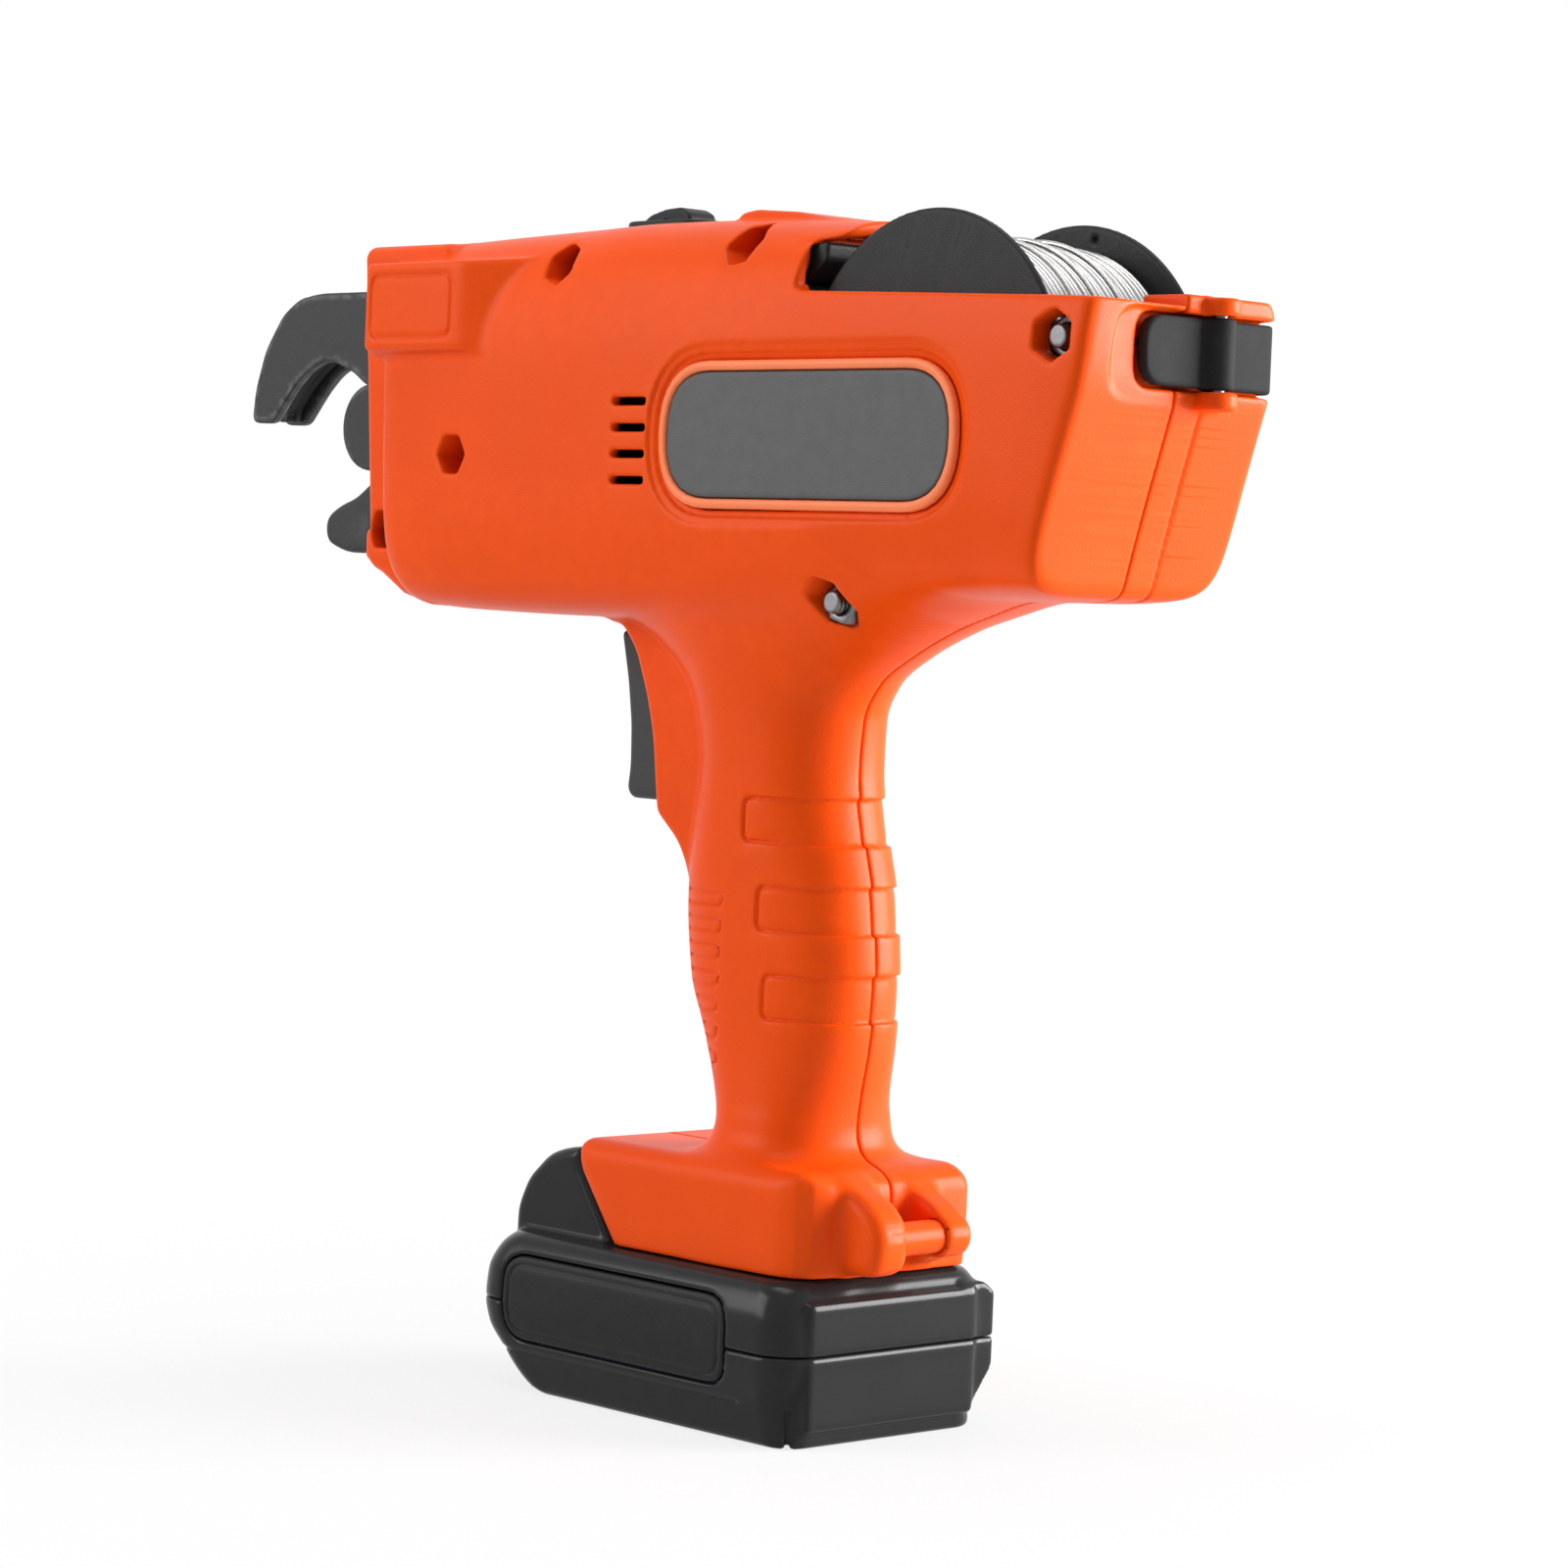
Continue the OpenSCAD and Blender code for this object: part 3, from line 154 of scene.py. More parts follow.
def moulded(name, color, rough, grain, worn=0.0, specular=0.5):
    """Plastic from a textured mould: fine spark grain, faint mottling and paler rubbed edges."""
    look = Look(name, color, rough, specular=specular)
    mottle = look.noise(55, 3)
    speck = look.noise(2600, 1)
    tone = look.blend(look.ramp(mottle, 0.3, 0.7), look.shade(0.98), look.shade(1.02))
    if worn:
        rubbed = look.ramp(look.edge(), 0.05, 0.5) * look.ramp(look.noise(240, 3), 0.3, 0.75) * worn
        tone = look.blend(rubbed, tone, look.shade(1.45))
    look.set("Base Color", tone)
    look.set("Roughness", rough - 0.05 + 0.06 * mottle + 0.05 * speck)
    look.bump(look.noise(2600, 2) + 0.4 * look.grains(3200), grain)
    return look


bare_metal = (0.3, 0.3, 0.31, 1.0)


def coated_steel(name, color, rough):
    """Dark phosphate coat, rubbed bright along the edges, with a few dull scuffs."""
    metal = 0.15
    look = Look(name, color, rough, metal, 0.2)
    scuff = look.ramp(look.noise(70, 5, 0.65, look.stretch((1.0, 1.0, 3.0))), 0.52, 0.72)
    rubbed = look.ramp(look.edge(), 0.12, 0.6) * look.ramp(look.noise(330, 3), 0.35, 0.7)
    tone = look.blend(0.35 * scuff, look.color, look.shade(1.5))
    look.set("Base Color", look.blend(0.25 * rubbed, tone, bare_metal))
    look.set("Roughness", rough + 0.12 * scuff - 0.1 * rubbed)
    look.set("Metallic", metal + 0.2 * rubbed)
    look.bump(look.noise(1800, 2), 0.04)
    return look


def bright_steel(name, color, rough, lay):
    """Machined or drawn metal with fine lines along its lay."""
    look = Look(name, color, rough, metal=1.0)
    lines = look.noise(900, 3, 0.6, look.stretch(lay))
    stain = look.noise(60, 4)
    look.set("Base Color", look.blend(look.ramp(stain, 0.35, 0.75), look.shade(1.08), look.shade(0.8)))
    look.set("Roughness", rough - 0.06 + 0.14 * lines + 0.06 * stain)
    look.bump(lines, 0.03)
    return look


# Plastics: name, colour, roughness, grain depth, wear, gloss. Metals: name, colour, roughness, lay
looks = {
    "housing_orange": moulded("orange moulding", (0.80, 0.074, 0.003), 0.35, 0.04, 0.2, 0.09),
    "rim_orange": moulded("pale orange rim", (0.92, 0.22, 0.08), 0.36, 0.02, 0.0, 0.2),
    "black_plastic": moulded("black moulding", (0.014, 0.014, 0.0145), 0.42, 0.04, 0.5, 0.13),
    "grey_plastic": moulded("grey moulding", (0.085, 0.085, 0.087), 0.45, 0.03, 0.3, 0.2),
    "trigger_grey": moulded("dark grey moulding", (0.055, 0.055, 0.056), 0.42, 0.03, 0.3, 0.1),
    "lever_black": moulded("satin black moulding", (0.022, 0.022, 0.0225), 0.62, 0.03, 0.4, 0.04),
    "jaw_steel": coated_steel("phosphate steel", (0.03, 0.03, 0.0315), 0.46),
    "bare_steel": bright_steel("machined steel", (0.17, 0.17, 0.175), 0.4, (0.2, 1.0, 1.0)),
    "motor_steel": bright_steel("drawn motor can", (0.45, 0.45, 0.46), 0.36, (0.15, 1.0, 1.0)),
    "tying_wire": bright_steel("drawn wire", (0.43, 0.425, 0.42), 0.25, (1.0, 6.0, 1.0)),
    "board_green": moulded("lacquered board", (0.02, 0.12, 0.05), 0.3, 0.02),
    "cell_wrap": moulded("cell wrap", (0.05, 0.12, 0.35), 0.35, 0.02),
    "contact_brass": bright_steel("plated brass", (0.7, 0.5, 0.18), 0.3, (1.0, 1.0, 0.3)),
    "battery_gloss": moulded("battery moulding", (0.016, 0.016, 0.0165), 0.2, 0.01, 0.3, 0.15),
}

# Fields: distance to a form, in millimetres, on a grid


far_off = 50.0
margin = 2.5
edge_depth = 1.2
cell_corners = list(np.ndindex(2, 2, 2))


class Space:
    """A grid of points in millimetres."""

    def __init__(self, low, high, step):
        self.low = np.array(low, dtype=np.float32)
        self.step = step
        axes = [np.arange(a, b + step, step, dtype=np.float32) for a, b in zip(low, high)]
        self.x = axes[0][:, None, None]
        self.y = axes[1][None, :, None]
        self.z = axes[2][None, None, :]

    def part(self, low, high):
        """The slices between two corners, with a margin round them, and the smaller grid there."""
        near = Space.__new__(Space)
        pick = []
        for name, a, b in zip("xyz", low, high):
            axis = getattr(self, name).ravel()
            i = np.searchsorted(axis, a - margin)
            j = max(np.searchsorted(axis, b + margin), i)
            pick.append(slice(i, j))
        near.x, near.y, near.z = self.x[pick[0]], self.y[:, pick[1]], self.z[:, :, pick[2]]
        return tuple(pick), near

    def axes(self, along):
        ways = {"x": (self.y, self.z, self.x), "y": (self.x, self.z, self.y), "z": (self.x, self.y, self.z)}
        return ways[along]

    def blank(self):
        """A field with nothing in it."""
        return np.full((self.x.size, self.y.size, self.z.size), far_off, dtype=np.float32)


def join(a, b, r=0.0):
    if not r:
        return np.minimum(a, b)
    h = np.maximum(r - np.abs(a - b), 0)
    return np.minimum(a, b) - h * h / (4 * r)


def keep(a, b, r=0.0):
    return -join(-a, -b, r)


def cut(a, b, r=0.0):
    return -join(-a, b, r)


def work(solid, s, low, high, tool, change=cut, r=0.0):
    """Change a field only between two corners."""
    pick, near = s.part(low, high)
    if solid[pick].size:
        solid[pick] = change(solid[pick], tool(near), r)


def length(a, b):
    return np.sqrt(a * a + b * b)


def outline(u, v, points):
    """Distance in a plane to a closed outline."""
    points = [(float(p), float(q)) for p, q in points]
    near = np.full(np.broadcast(u, v).shape, 1e9, dtype=np.float32)
    inside = np.zeros(near.shape, dtype=bool)
    for (a0, a1), (b0, b1) in zip(points, points[1:] + points[:1]):
        e0, e1 = b0 - a0, b1 - a1
        w0, w1 = u - a0, v - a1
        t = np.clip((w0 * e0 + w1 * e1) / (e0 * e0 + e1 * e1 + 1e-9), 0, 1)
        near = np.minimum(near, (w0 - e0 * t) ** 2 + (w1 - e1 * t) ** 2)
        if e1:
            inside ^= ((a1 > v) != (b1 > v)) & (w0 < e0 * w1 / e1)
    return np.where(inside, -1, 1) * np.sqrt(near)


def capped(flat, up, r):
    """A flat form with a thickness, its edges rounded."""
    a, b = flat + r, up + r
    return np.minimum(np.maximum(a, b), 0) + length(np.maximum(a, 0), np.maximum(b, 0)) - r


def rounded(points, r, steps=5):
    """An outline with its corners turned into short curves."""
    made = []
    points = [np.array(p, dtype=float) for p in points]
    for i, p in enumerate(points):
        a = points[i - 1] - p
        b = points[(i + 1) % len(points)] - p
        la, lb = np.linalg.norm(a), np.linalg.norm(b)
        t = min(r, la * 0.48, lb * 0.48)
        for k in range(steps + 1):
            s = k / steps
            made.append(p + a / la * t * (1 - s) ** 2 + b / lb * t * s ** 2)
    return made


def frame_of(u0, u1, v0, v1):
    return [(u0, v0), (u1, v0), (u1, v1), (u0, v1)]


def between(axis, low, high):
    """How far a point lies past the nearer of two levels."""
    return np.abs(axis - (low + high) / 2) - (high - low) / 2


def box(past, r):
    """A rounded box, from how far a point lies past each of its three pairs of faces."""
    a, b, c = (q + r for q in past)
    far = np.maximum(a, 0) ** 2 + np.maximum(b, 0) ** 2 + np.maximum(c, 0) ** 2
    return np.sqrt(far) + np.minimum(np.maximum(np.maximum(a, b), c), 0) - r


def block(s, low, high, r=0.5):
    return box([between(axis, a, b) for axis, a, b in zip((s.x, s.y, s.z), low, high)], r)


def slab(s, along, points, low, high, r=0.5):
    """An outline pushed along one axis, with its edges rounded."""
    u, v, w = s.axes(along)
    return capped(outline(u, v, points), between(w, low, high), r)


def rod(s, along, u0, v0, radius, low, high, r=0.4):
    u, v, w = s.axes(along)
    return capped(length(u - u0, v - v0) - radius, between(w, low, high), r)


def course(stations, column):
    """A smooth curve through one column of the stations."""
    t = np.array([p[0] for p in stations], dtype=float)
    v = np.array([p[column] for p in stations], dtype=float)
    h = np.diff(t)
    d = np.diff(v) / h
    m = np.zeros_like(v)
    m[0], m[-1] = d[0], d[-1]
    same = d[:-1] * d[1:] > 0
    w1, w2 = 2 * h[1:] + h[:-1], h[1:] + 2 * h[:-1]
    with np.errstate(divide="ignore", invalid="ignore"):
        m[1:-1] = np.where(same, (w1 + w2) / (w1 / d[:-1] + w2 / d[1:]), 0)

    def at(q):
        q = np.clip(q, t[0], t[-1])
        i = np.clip(np.searchsorted(t, q, side="right") - 1, 0, len(h) - 1)
        k = (q - t[i]) / h[i]
        a = (1 + 2 * k) * (1 - k) ** 2 * v[i] + k * (1 - k) ** 2 * h[i] * m[i]
        return (a + k * k * (3 - 2 * k) * v[i + 1] + k * k * (k - 1) * h[i] * m[i + 1]).astype(np.float32)
    return at


# Meshes from fields


def sampled(grids, s, points):
    """Values of the grids at points, by trilinear weights."""
    q = (points - s.low) / s.step
    shape = np.array(grids[0].shape)
    i = np.clip(np.floor(q).astype(np.int64), 0, shape - 2)
    f = (q - i).astype(np.float32)
    base = (i[:, 0] * shape[1] + i[:, 1]) * shape[2] + i[:, 2]
    made = [0] * len(grids)
    for corner in cell_corners:
        wx, wy, wz = (f[:, n] if corner[n] else 1 - f[:, n] for n in range(3))
        at = base + (corner[0] * shape[1] + corner[1]) * shape[2] + corner[2]
        for n, grid in enumerate(grids):
            made[n] = made[n] + wx * wy * wz * grid.ravel()[at]
    return made


def net(s, field):
    """Points and four-sided faces on the surface where the field is nought."""
    inside = field < 0
    count = np.zeros(tuple(n - 1 for n in field.shape), dtype=np.uint8)
    part = [slice(0, -1), slice(1, None)]
    for a, b, c in cell_corners:
        count += inside[part[a], part[b], part[c]]
    cells = np.argwhere((count > 0) & (count < 8))
    index = np.full(count.shape, -1, dtype=np.int32)
    index[cells[:, 0], cells[:, 1], cells[:, 2]] = np.arange(len(cells))
    total = np.zeros((len(cells), 3), dtype=np.float32)
    hits = np.zeros(len(cells), dtype=np.float32)
    corner = {(a, b, c): field[cells[:, 0] + a, cells[:, 1] + b, cells[:, 2] + c]
              for a, b, c in cell_corners}
    for p, v in corner.items():
        for axis in range(3):
            if p[axis]:
                continue
            q = tuple(1 if n == axis else p[n] for n in range(3))
            w = corner[q]
            mixed = (v < 0) != (w < 0)
            t = np.where(mixed, v / np.where(mixed, v - w, 1), 0)
            for n in range(3):
                total[:, n] += np.where(mixed, t if n == axis else p[n], 0)
            hits += mixed
    points = (cells + total / hits[:, None]) * s.step + s.low
    faces = []
    for axis in range(3):
        one, two = (axis + 1) % 3, (axis + 2) % 3
        low = [slice(None)] * 3
        high = [slice(None)] * 3
        low[axis], high[axis] = slice(0, -1), slice(1, None)
        a, b = inside[tuple(low)], inside[tuple(high)]
        edges = np.argwhere(a != b)
        edges = edges[(edges[:, one] > 0) & (edges[:, two] > 0)]
        edges = edges[(edges[:, one] < field.shape[one] - 1) & (edges[:, two] < field.shape[two] - 1)]
        turn = a[edges[:, 0], edges[:, 1], edges[:, 2]]
        ring = []
        for d1, d2 in ((1, 1), (0, 1), (0, 0), (1, 0)):
            at = edges.copy()
            at[:, one] -= d1
            at[:, two] -= d2
            ring.append(index[at[:, 0], at[:, 1], at[:, 2]])
        ring = np.stack(ring, 1)
        ring[~turn] = ring[~turn][:, ::-1]
        faces.append(ring)
    return points, np.concatenate(faces)


def mesh_of(name, points, faces):
    mesh = bpy.data.meshes.new(name)
    sides = faces.shape[1]
    mesh.vertices.add(len(points))
    mesh.vertices.foreach_set("co", np.ascontiguousarray(points, dtype=np.float32).ravel())
    mesh.loops.add(faces.size)
    mesh.loops.foreach_set("vertex_index", np.ascontiguousarray(faces, dtype=np.int32).ravel())
    mesh.polygons.add(len(faces))
    mesh.polygons.foreach_set("loop_start", np.arange(0, faces.size, sides, dtype=np.int32))
    mesh.polygons.foreach_set("use_smooth", np.ones(len(faces), dtype=bool))
    mesh.update(calc_edges=True)
    mesh.validate()
    return mesh


def place(name, mesh, body, slot, nodes, look=None):
    """Put a mesh in the scene as a piece that rides on a body and stands for its nodes."""
    piece = bpy.data.objects.new(name, mesh)
    scene.collection.objects.link(piece)
    mesh.materials.clear()
    mesh.materials.append(looks[look or slot].material)
    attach(piece, body)
    if nodes:
        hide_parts(*nodes)
    return piece


def form(name, s, field, body, slot, nodes=(), look=None, share=0.4):
    """Turn a field into a piece: its surface, thinned where it is plain, with the field's own normals."""
    field = np.array(np.broadcast_to(field, (s.x.size, s.y.size, s.z.size)), dtype=np.float32)
    slopes = [g.astype(np.float32) for g in np.gradient(field, s.step)]
    points, faces = net(s, field)
    for _ in range(2):
        d, gx, gy, gz = sampled([field] + slopes, s, points)
        size = np.maximum(gx * gx + gy * gy + gz * gz, 0.05)
        move = np.clip(d / size, -0.5 * s.step, 0.5 * s.step)
        points = points - np.stack([gx, gy, gz], 1) * move[:, None]
    mesh = mesh_of(name, points, faces)
    holder = bpy.data.objects.new(name + ".work", mesh)
    scene.collection.objects.link(holder)
    thin = holder.modifiers.new("thin", "DECIMATE")
    thin.ratio = share
    thinned = holder.evaluated_get(bpy.context.evaluated_depsgraph_get())
    done = bpy.data.meshes.new_from_object(thinned)
    bpy.data.objects.remove(holder)
    bpy.data.meshes.remove(mesh)
    mesh = done
    mesh.name = name
    points = np.empty(len(mesh.vertices) * 3, dtype=np.float32)
    mesh.vertices.foreach_get("co", points)
    points = points.reshape(-1, 3)
    near = sampled(slopes, s, points)
    normals = np.stack(near, 1)
    normals /= np.maximum(np.linalg.norm(normals, axis=1), 1e-6)[:, None]
    ahead = np.stack(sampled(slopes, s, points - normals * edge_depth), 1)
    bend = 1 - (normals * ahead).sum(1) / np.maximum(np.linalg.norm(ahead, axis=1), 1e-6)
    edge = mesh.attributes.new("edge", "FLOAT", "POINT")
    edge.data.foreach_set("value", np.clip(bend, 0, 1).astype(np.float32))
    mesh.vertices.foreach_set("co", (points * mm).ravel())
    mesh.polygons.foreach_set("use_smooth", np.ones(len(mesh.polygons), dtype=bool))
    mesh.update()
    mesh.normals_split_custom_set_from_vertices(normals.tolist())
    return place(name, mesh, body, slot, nodes, look)


# Levels and places of the tool, in millimetres

body_mid, axis_z = 208.85, 207.5
shell_wall, half_gap = 2.7, 0.07
foot_low, foot_rear, foot_half = 34.2, 45.6, 25.2
nose_half = 20.5
spool_x, spool_z, spool_round, spool_play = 67.3, 214.4, 35.8, 0.8
core_round, flange_y, flange_half = 16.0, 20.8, 0.8
tray_half, tray_high, chamber_wall = 23.6, 243.2, 39.2
lever_x, lever_y, lever_low, lever_high = 116.2, 9.0, 215.6, 229.6
lever_play, pin_round = 0.4, 1.5
bar_x, bar_z = 52.4, 42.5
tray_rear = 116.0
spring_z = 142.5
rocker_x, rocker_z = -31.5, 251.9
bolt_round, bolt_bore, thread_pitch = 2.48, 2.6, 1.1
nut_round, nut_tall, head_round, head_tall, head_seat = 4.6, 4.0, 4.3, 2.75, 4.75
trigger_half, trigger_play = 6.5, 0.45
neck_half, neck_high, rail_half, rail_low, rail_high = 13.0, 38.0, 16.5, 37.6, 42.2
rail_front, rail_rear, slide_play = -13.5, 36.0, 0.4
vent_low, vent_tall, vent_pitch = 194.6, 1.7, 5.5
band_low, band_high, band_pitch, band_starts = 121.6, 130.6, 18.2, (13.5, 18.4, 21.0)
rib_top, rib_pitch, rib_end = 108.7, 5.53, 8.0

# x, lean, half width, low, high, roundness above, roundness below
barrel_stations = [
    (-99.5, -0.04, 25.6, 172.6, 247.0, 3.4, 5.0), (-97.5, -0.04, 26.8, 169.6, 247.8, 3.4, 5.5),
    (-91.5, -0.04, 27.7, 167.5, 248.6, 3.4, 6.0), (-77.5, -0.04, 28.3, 166.8, 249.3, 3.4, 6.0),
    (-45.0, 0.0, 28.7, 166.5, 250.5, 3.4, 5.5), (-22.0, 0.0, 29.3, 166.5, 251.2, 3.5, 5.0),
    (6.0, 0.0, 29.5, 166.9, 251.0, 3.5, 4.6), (34.0, 0.0, 29.5, 168.5, 249.8, 3.7, 4.4),
    (60.0, 0.02, 29.4, 172.0, 248.2, 4.0, 4.2), (86.0, 0.08, 29.3, 173.4, 245.2, 4.0, 4.2),
    (98.0, 0.18, 29.3, 173.5, 242.2, 4.4, 4.6), (106.0, 0.27, 29.0, 173.9, 239.2, 5.0, 5.4),
    (112.0, 0.32, 28.5, 174.7, 236.2, 6.0, 6.8)]

# z, front, rear, half width, roundness
grip_stations = [
    (40.0, 1.4, 34.6, 18.2, 2.6), (62.7, 1.9, 34.5, 17.9, 2.5), (67.5, 0.3, 34.9, 17.2, 2.4),
    (80.5, -5.0, 37.2, 16.5, 2.5), (92.5, -10.4, 38.3, 16.5, 2.5), (108.5, -12.3, 37.0, 16.5, 2.5),
    (122.5, -11.4, 33.6, 16.5, 2.4), (136.5, -9.5, 31.0, 16.5, 2.3), (147.5, -12.0, 31.8, 16.8, 2.2),
    (155.5, -17.0, 36.6, 17.5, 2.15), (161.0, -24.0, 45.2, 18.9, 2.15), (167.0, -33.0, 58.0, 21.5, 2.3),
    (171.5, -38.0, 71.0, 23.9, 2.6), (176.5, -40.0, 82.0, 25.5, 3.0), (190.0, -40.0, 88.0, 26.1, 3.2)]

# x, z, hex turn, depth of the nut's seat
bolt_places = [
    (-104.9, 184.0, 0, 9.0), (-72.0, 200.6, 0, 14.0), (-42.0, 241.5, 20, 9.5),
    (14.5, 244.2, 50, 9.0), (43.0, 171.7, 15, 15.5), (107.0, 224.0, 30, 20.5)]

plate_frame, plate_round = frame_of(-1.0, 81.0, 192.0, 218.0), 12.5


def barrel(s):
    """Long body of the tool: rings between an ellipse and a box, leaning at both ends."""
    lean = course(barrel_stations, 1)
    flow = s.x - lean(s.x) * (s.z - body_mid)
    flow = s.x - lean(flow) * (s.z - body_mid)
    half, low, high, above, below = (course(barrel_stations, k)(flow) for k in range(2, 7))
    rise = s.z - (low + high) / 2
    tall = rise / ((high - low) / 2)
    power = np.where(tall > 0, above, below)
    ring = (np.abs(s.y / half) ** power + np.abs(tall) ** power) ** (1 / power)
    d = (ring - 1) * np.sqrt(s.y ** 2 + rise ** 2) / np.maximum(ring, 0.02)
    d = keep(d, -99.5 - flow, 1.6)
    d = keep(d, flow - 112.2, 3)
    return keep(d, s.x - tray_rear, 3)


def nose(s):
    lean = s.x + 0.08 * (s.z - body_mid)
    d = box([between(lean, -113, -81), np.abs(s.y) - nose_half, between(s.z, 174.8, 247.8)], 3)
    chin = [(-112.0, 184), (-112.0, 177.4), (-98, 169.6), (-88, 167.6), (-80, 184)]
    return join(d, slab(s, "y", chin, -nose_half, nose_half, 2.6), 1)


def grip(s):
    front, rear, half, power = (course(grip_stations, k)(s.z) for k in range(1, 5))
    reach = s.x - (front + rear) / 2
    ring = (np.abs(reach / ((rear - front) / 2)) ** power + np.abs(s.y / half) ** power) ** (1 / power)
    d = (ring - 1) * np.sqrt(reach ** 2 + s.y ** 2) / np.maximum(ring, 0.02)
    return np.maximum(np.maximum(d, 38 - s.z), s.z - 188)


def foot(s, corner):
    side = rounded([
        (-9.0, 26.4), (-22.2, 43.6), (-26.6, 49.5), (-26.4, 55.6), (41.4, 55.6), (foot_rear, 52.4),
        (foot_rear, 43), (44.0, 26.4)], 3.5)
    plan = outline(s.x, s.y, rounded(frame_of(-60, foot_rear, -foot_half, foot_half), corner))
    d = keep(slab(s, "y", side, -foot_half, foot_half, 5.0), plan, 1.6)
    return keep(d, foot_low - s.z, 0.4)


def hood(s):
    side = rounded([
        (-41.5, 171.5), (-40.6, 165.8), (-35.9, 165), (-31, 159.7), (-26.8, 149.5), (-24.5, 141.2),
        (-22.8, 128), (-22.3, 125.1), (-14.9, 118.9), (-10.6, 110.8), (2, 110.8), (2, 171.5)], 3)
    return slab(s, "y", side, -9.3, 9.3, 2.2)


def motor_cover(s):
    """Raised cover over the feed motor: a flat pad, a long slope behind it and a short one below."""
    out = s.y + 30.9
    slopes = [
        (-100.8 - s.x) * 0.98 - out * 0.1, (s.z - 242.6) * 0.97 - out * 0.1,
        (223.6 - s.z) * 0.93 - out * 0.36, (s.x + 68.6) * 0.42 - out * 0.91]
    d = -out + 0 * s.x + 0 * s.z
    for slope in slopes:
        d = keep(d, slope, 1.0)
    pad = outline(s.x, s.z, rounded(frame_of(-98.6, -70.9, 226.2, 239.8), 2.5))
    return cut(d, capped(np.abs(pad) - 0.4, np.abs(out) - 0.7, 0.1), 0.2)


def around(s, x, z):
    """Distance from an axis across the tool."""
    return length(s.x - x, s.z - z)


def hexagon(x, z, turn, radius):
    return [(x + radius * np.cos(a), z + radius * np.sin(a)) for a in np.radians(np.arange(6) * 60 - turn)]


def strap_lug(s, q):
    side = rounded([(36, 34.7), (55.6, 35.2), (56.8, 45.0), (51.4, 50.6), (36, 56.2)], 5)
    if q < 0:
        return slab(s, "y", side, -14.5, -4.4, 3.0)
    eye = [(36, 34.7), (50, 36.6), (54, 47.6), (36, 55.5)]
    flat = join(outline(s.x, s.z, rounded(eye, 3)), around(s, bar_x, bar_z) - 4.5, 1.5)
    return capped(flat, np.abs(s.y - 8.9) - 3.9, 1.6)


def bolt_hole(s, q, x, z, turn, depth):
    """Bore with a six-sided seat on the left and a round one on the right."""
    ring = around(s, x, z)
    if q > 0:
        seat = capped(ring - head_seat, depth - s.y, 0.1)
    else:
        sides = rounded(hexagon(x, z, turn, 5.3 if x > 40 else 4.85), 0.5, 2)
        seat = capped(outline(s.x, s.z, sides), s.y + depth, 0.1)
    return join(seat, ring - bolt_bore)


def grip_band(s, k):
    """Shallow band round the rear of the grip, with a fine line round its front end."""
    start, drop = band_starts[k], k * band_pitch
    skin = grip(s)
    depth = 0.15 + np.clip((s.x - start - 4) / 18, 0, 1) * 1.15
    band = outline(s.x, s.z, rounded(frame_of(start, 70, band_low - drop, band_high - drop), 2))
    line = np.maximum(keep(np.abs(band) - 0.4, -(skin + 1.0)), s.x - start - 20)
    return join(keep(band, -(skin + depth)), line)


def finger_rib(s, z):
    """Fine line round one of the pills along the front of the grip."""
    front = float(course(grip_stations, 1)(np.array([z]))[0])
    pill = capped(np.abs(s.x + 16) - (16 + rib_end - 0.03 * (rib_top - z)), np.abs(s.z - z) - 1.35, 1.3)
    line = keep(np.abs(pill) - 0.33, -(grip(s) + 0.8))
    return np.maximum(line, front + 5.2 - s.x)


def hinge_eye(s, z):
    eye = rod(s, "z", lever_x, lever_y, 4.1, z, z + 3.5, 0.7)
    return join(eye, block(s, (108, lever_y - 4.1, z), (lever_x, lever_y + 4.1, z + 3.5), 0.7), 0.5)


def crest_deck(s):
    side = rounded([(-1.6, 245), (-0.6, 252.2), (4, 252.9), (17, 252), (32, 249.6), (32, 245)], 1.5)
    return slab(s, "y", side, -11.5, 11.5, 1.5)


def pocket(solid, s, low, high, r=0.5, rim=0.0):
    """Cut a block out of a field and round its rim."""
    work(solid, s, low, high, lambda n: block(n, low, high, r), cut, rim)


def shell_mass(s, q):
    """One half, hollowed, with bosses round the bolts and walls round the spool and the switch."""
    main = s.blank()
    work(main, s, (-119, -40, 160), (123, 40, 256), barrel, join)
    work(main, s, (-118, -24, 170), (-76, 24, 252), nose, join, 1.2)
    handle = s.blank()
    work(handle, s, (-46, -30, 36), (95, 30, 188), grip, join)
    work(handle, s, (-34, -30, 32), (52, 30, 68), lambda n: foot(n, 13 if q < 0 else 4), join, 8)
    main = join(main, handle, 3.5)
    hollow = main + shell_wall
    solid = main.copy()
    hood_low, hood_high = (-44, -12, 108), (6, 12, 174)
    work(solid, s, hood_low, hood_high, hood, join, 2)
    work(hollow, s, hood_low, hood_high, lambda n: hood(n) + 2.5, join)
    if q < 0:
        work(solid, s, (-106, -33, 206), (-36, -8, 247), lambda n: keep(motor_cover(n), n.y + 12), join, 0.9)
    work(solid, s, (-4, -13, 243), (34, 13, 255), crest_deck, join, 1.2)
    work(solid, s, (34, -16, 33), (60, 16, 58), lambda n: strap_lug(n, q), join, 2.5)
    hollow = np.maximum(np.maximum(hollow, s.x - 60), 37.4 - s.z)
    hollow = np.maximum(hollow, chamber_wall - around(s, spool_x, spool_z))
    for x, z, _, _ in bolt_places:
        work(hollow, s, (x - 8, -40, z - 8), (x + 8, 40, z + 8),
             lambda n: 7.2 - around(n, x, z), keep)
    pocket(hollow, s, (-48, -12, 243), (-15, 12, 256))
    pocket(hollow, s, (24, -25, 223), (34, 10, 245.5))
    return cut(solid, hollow)


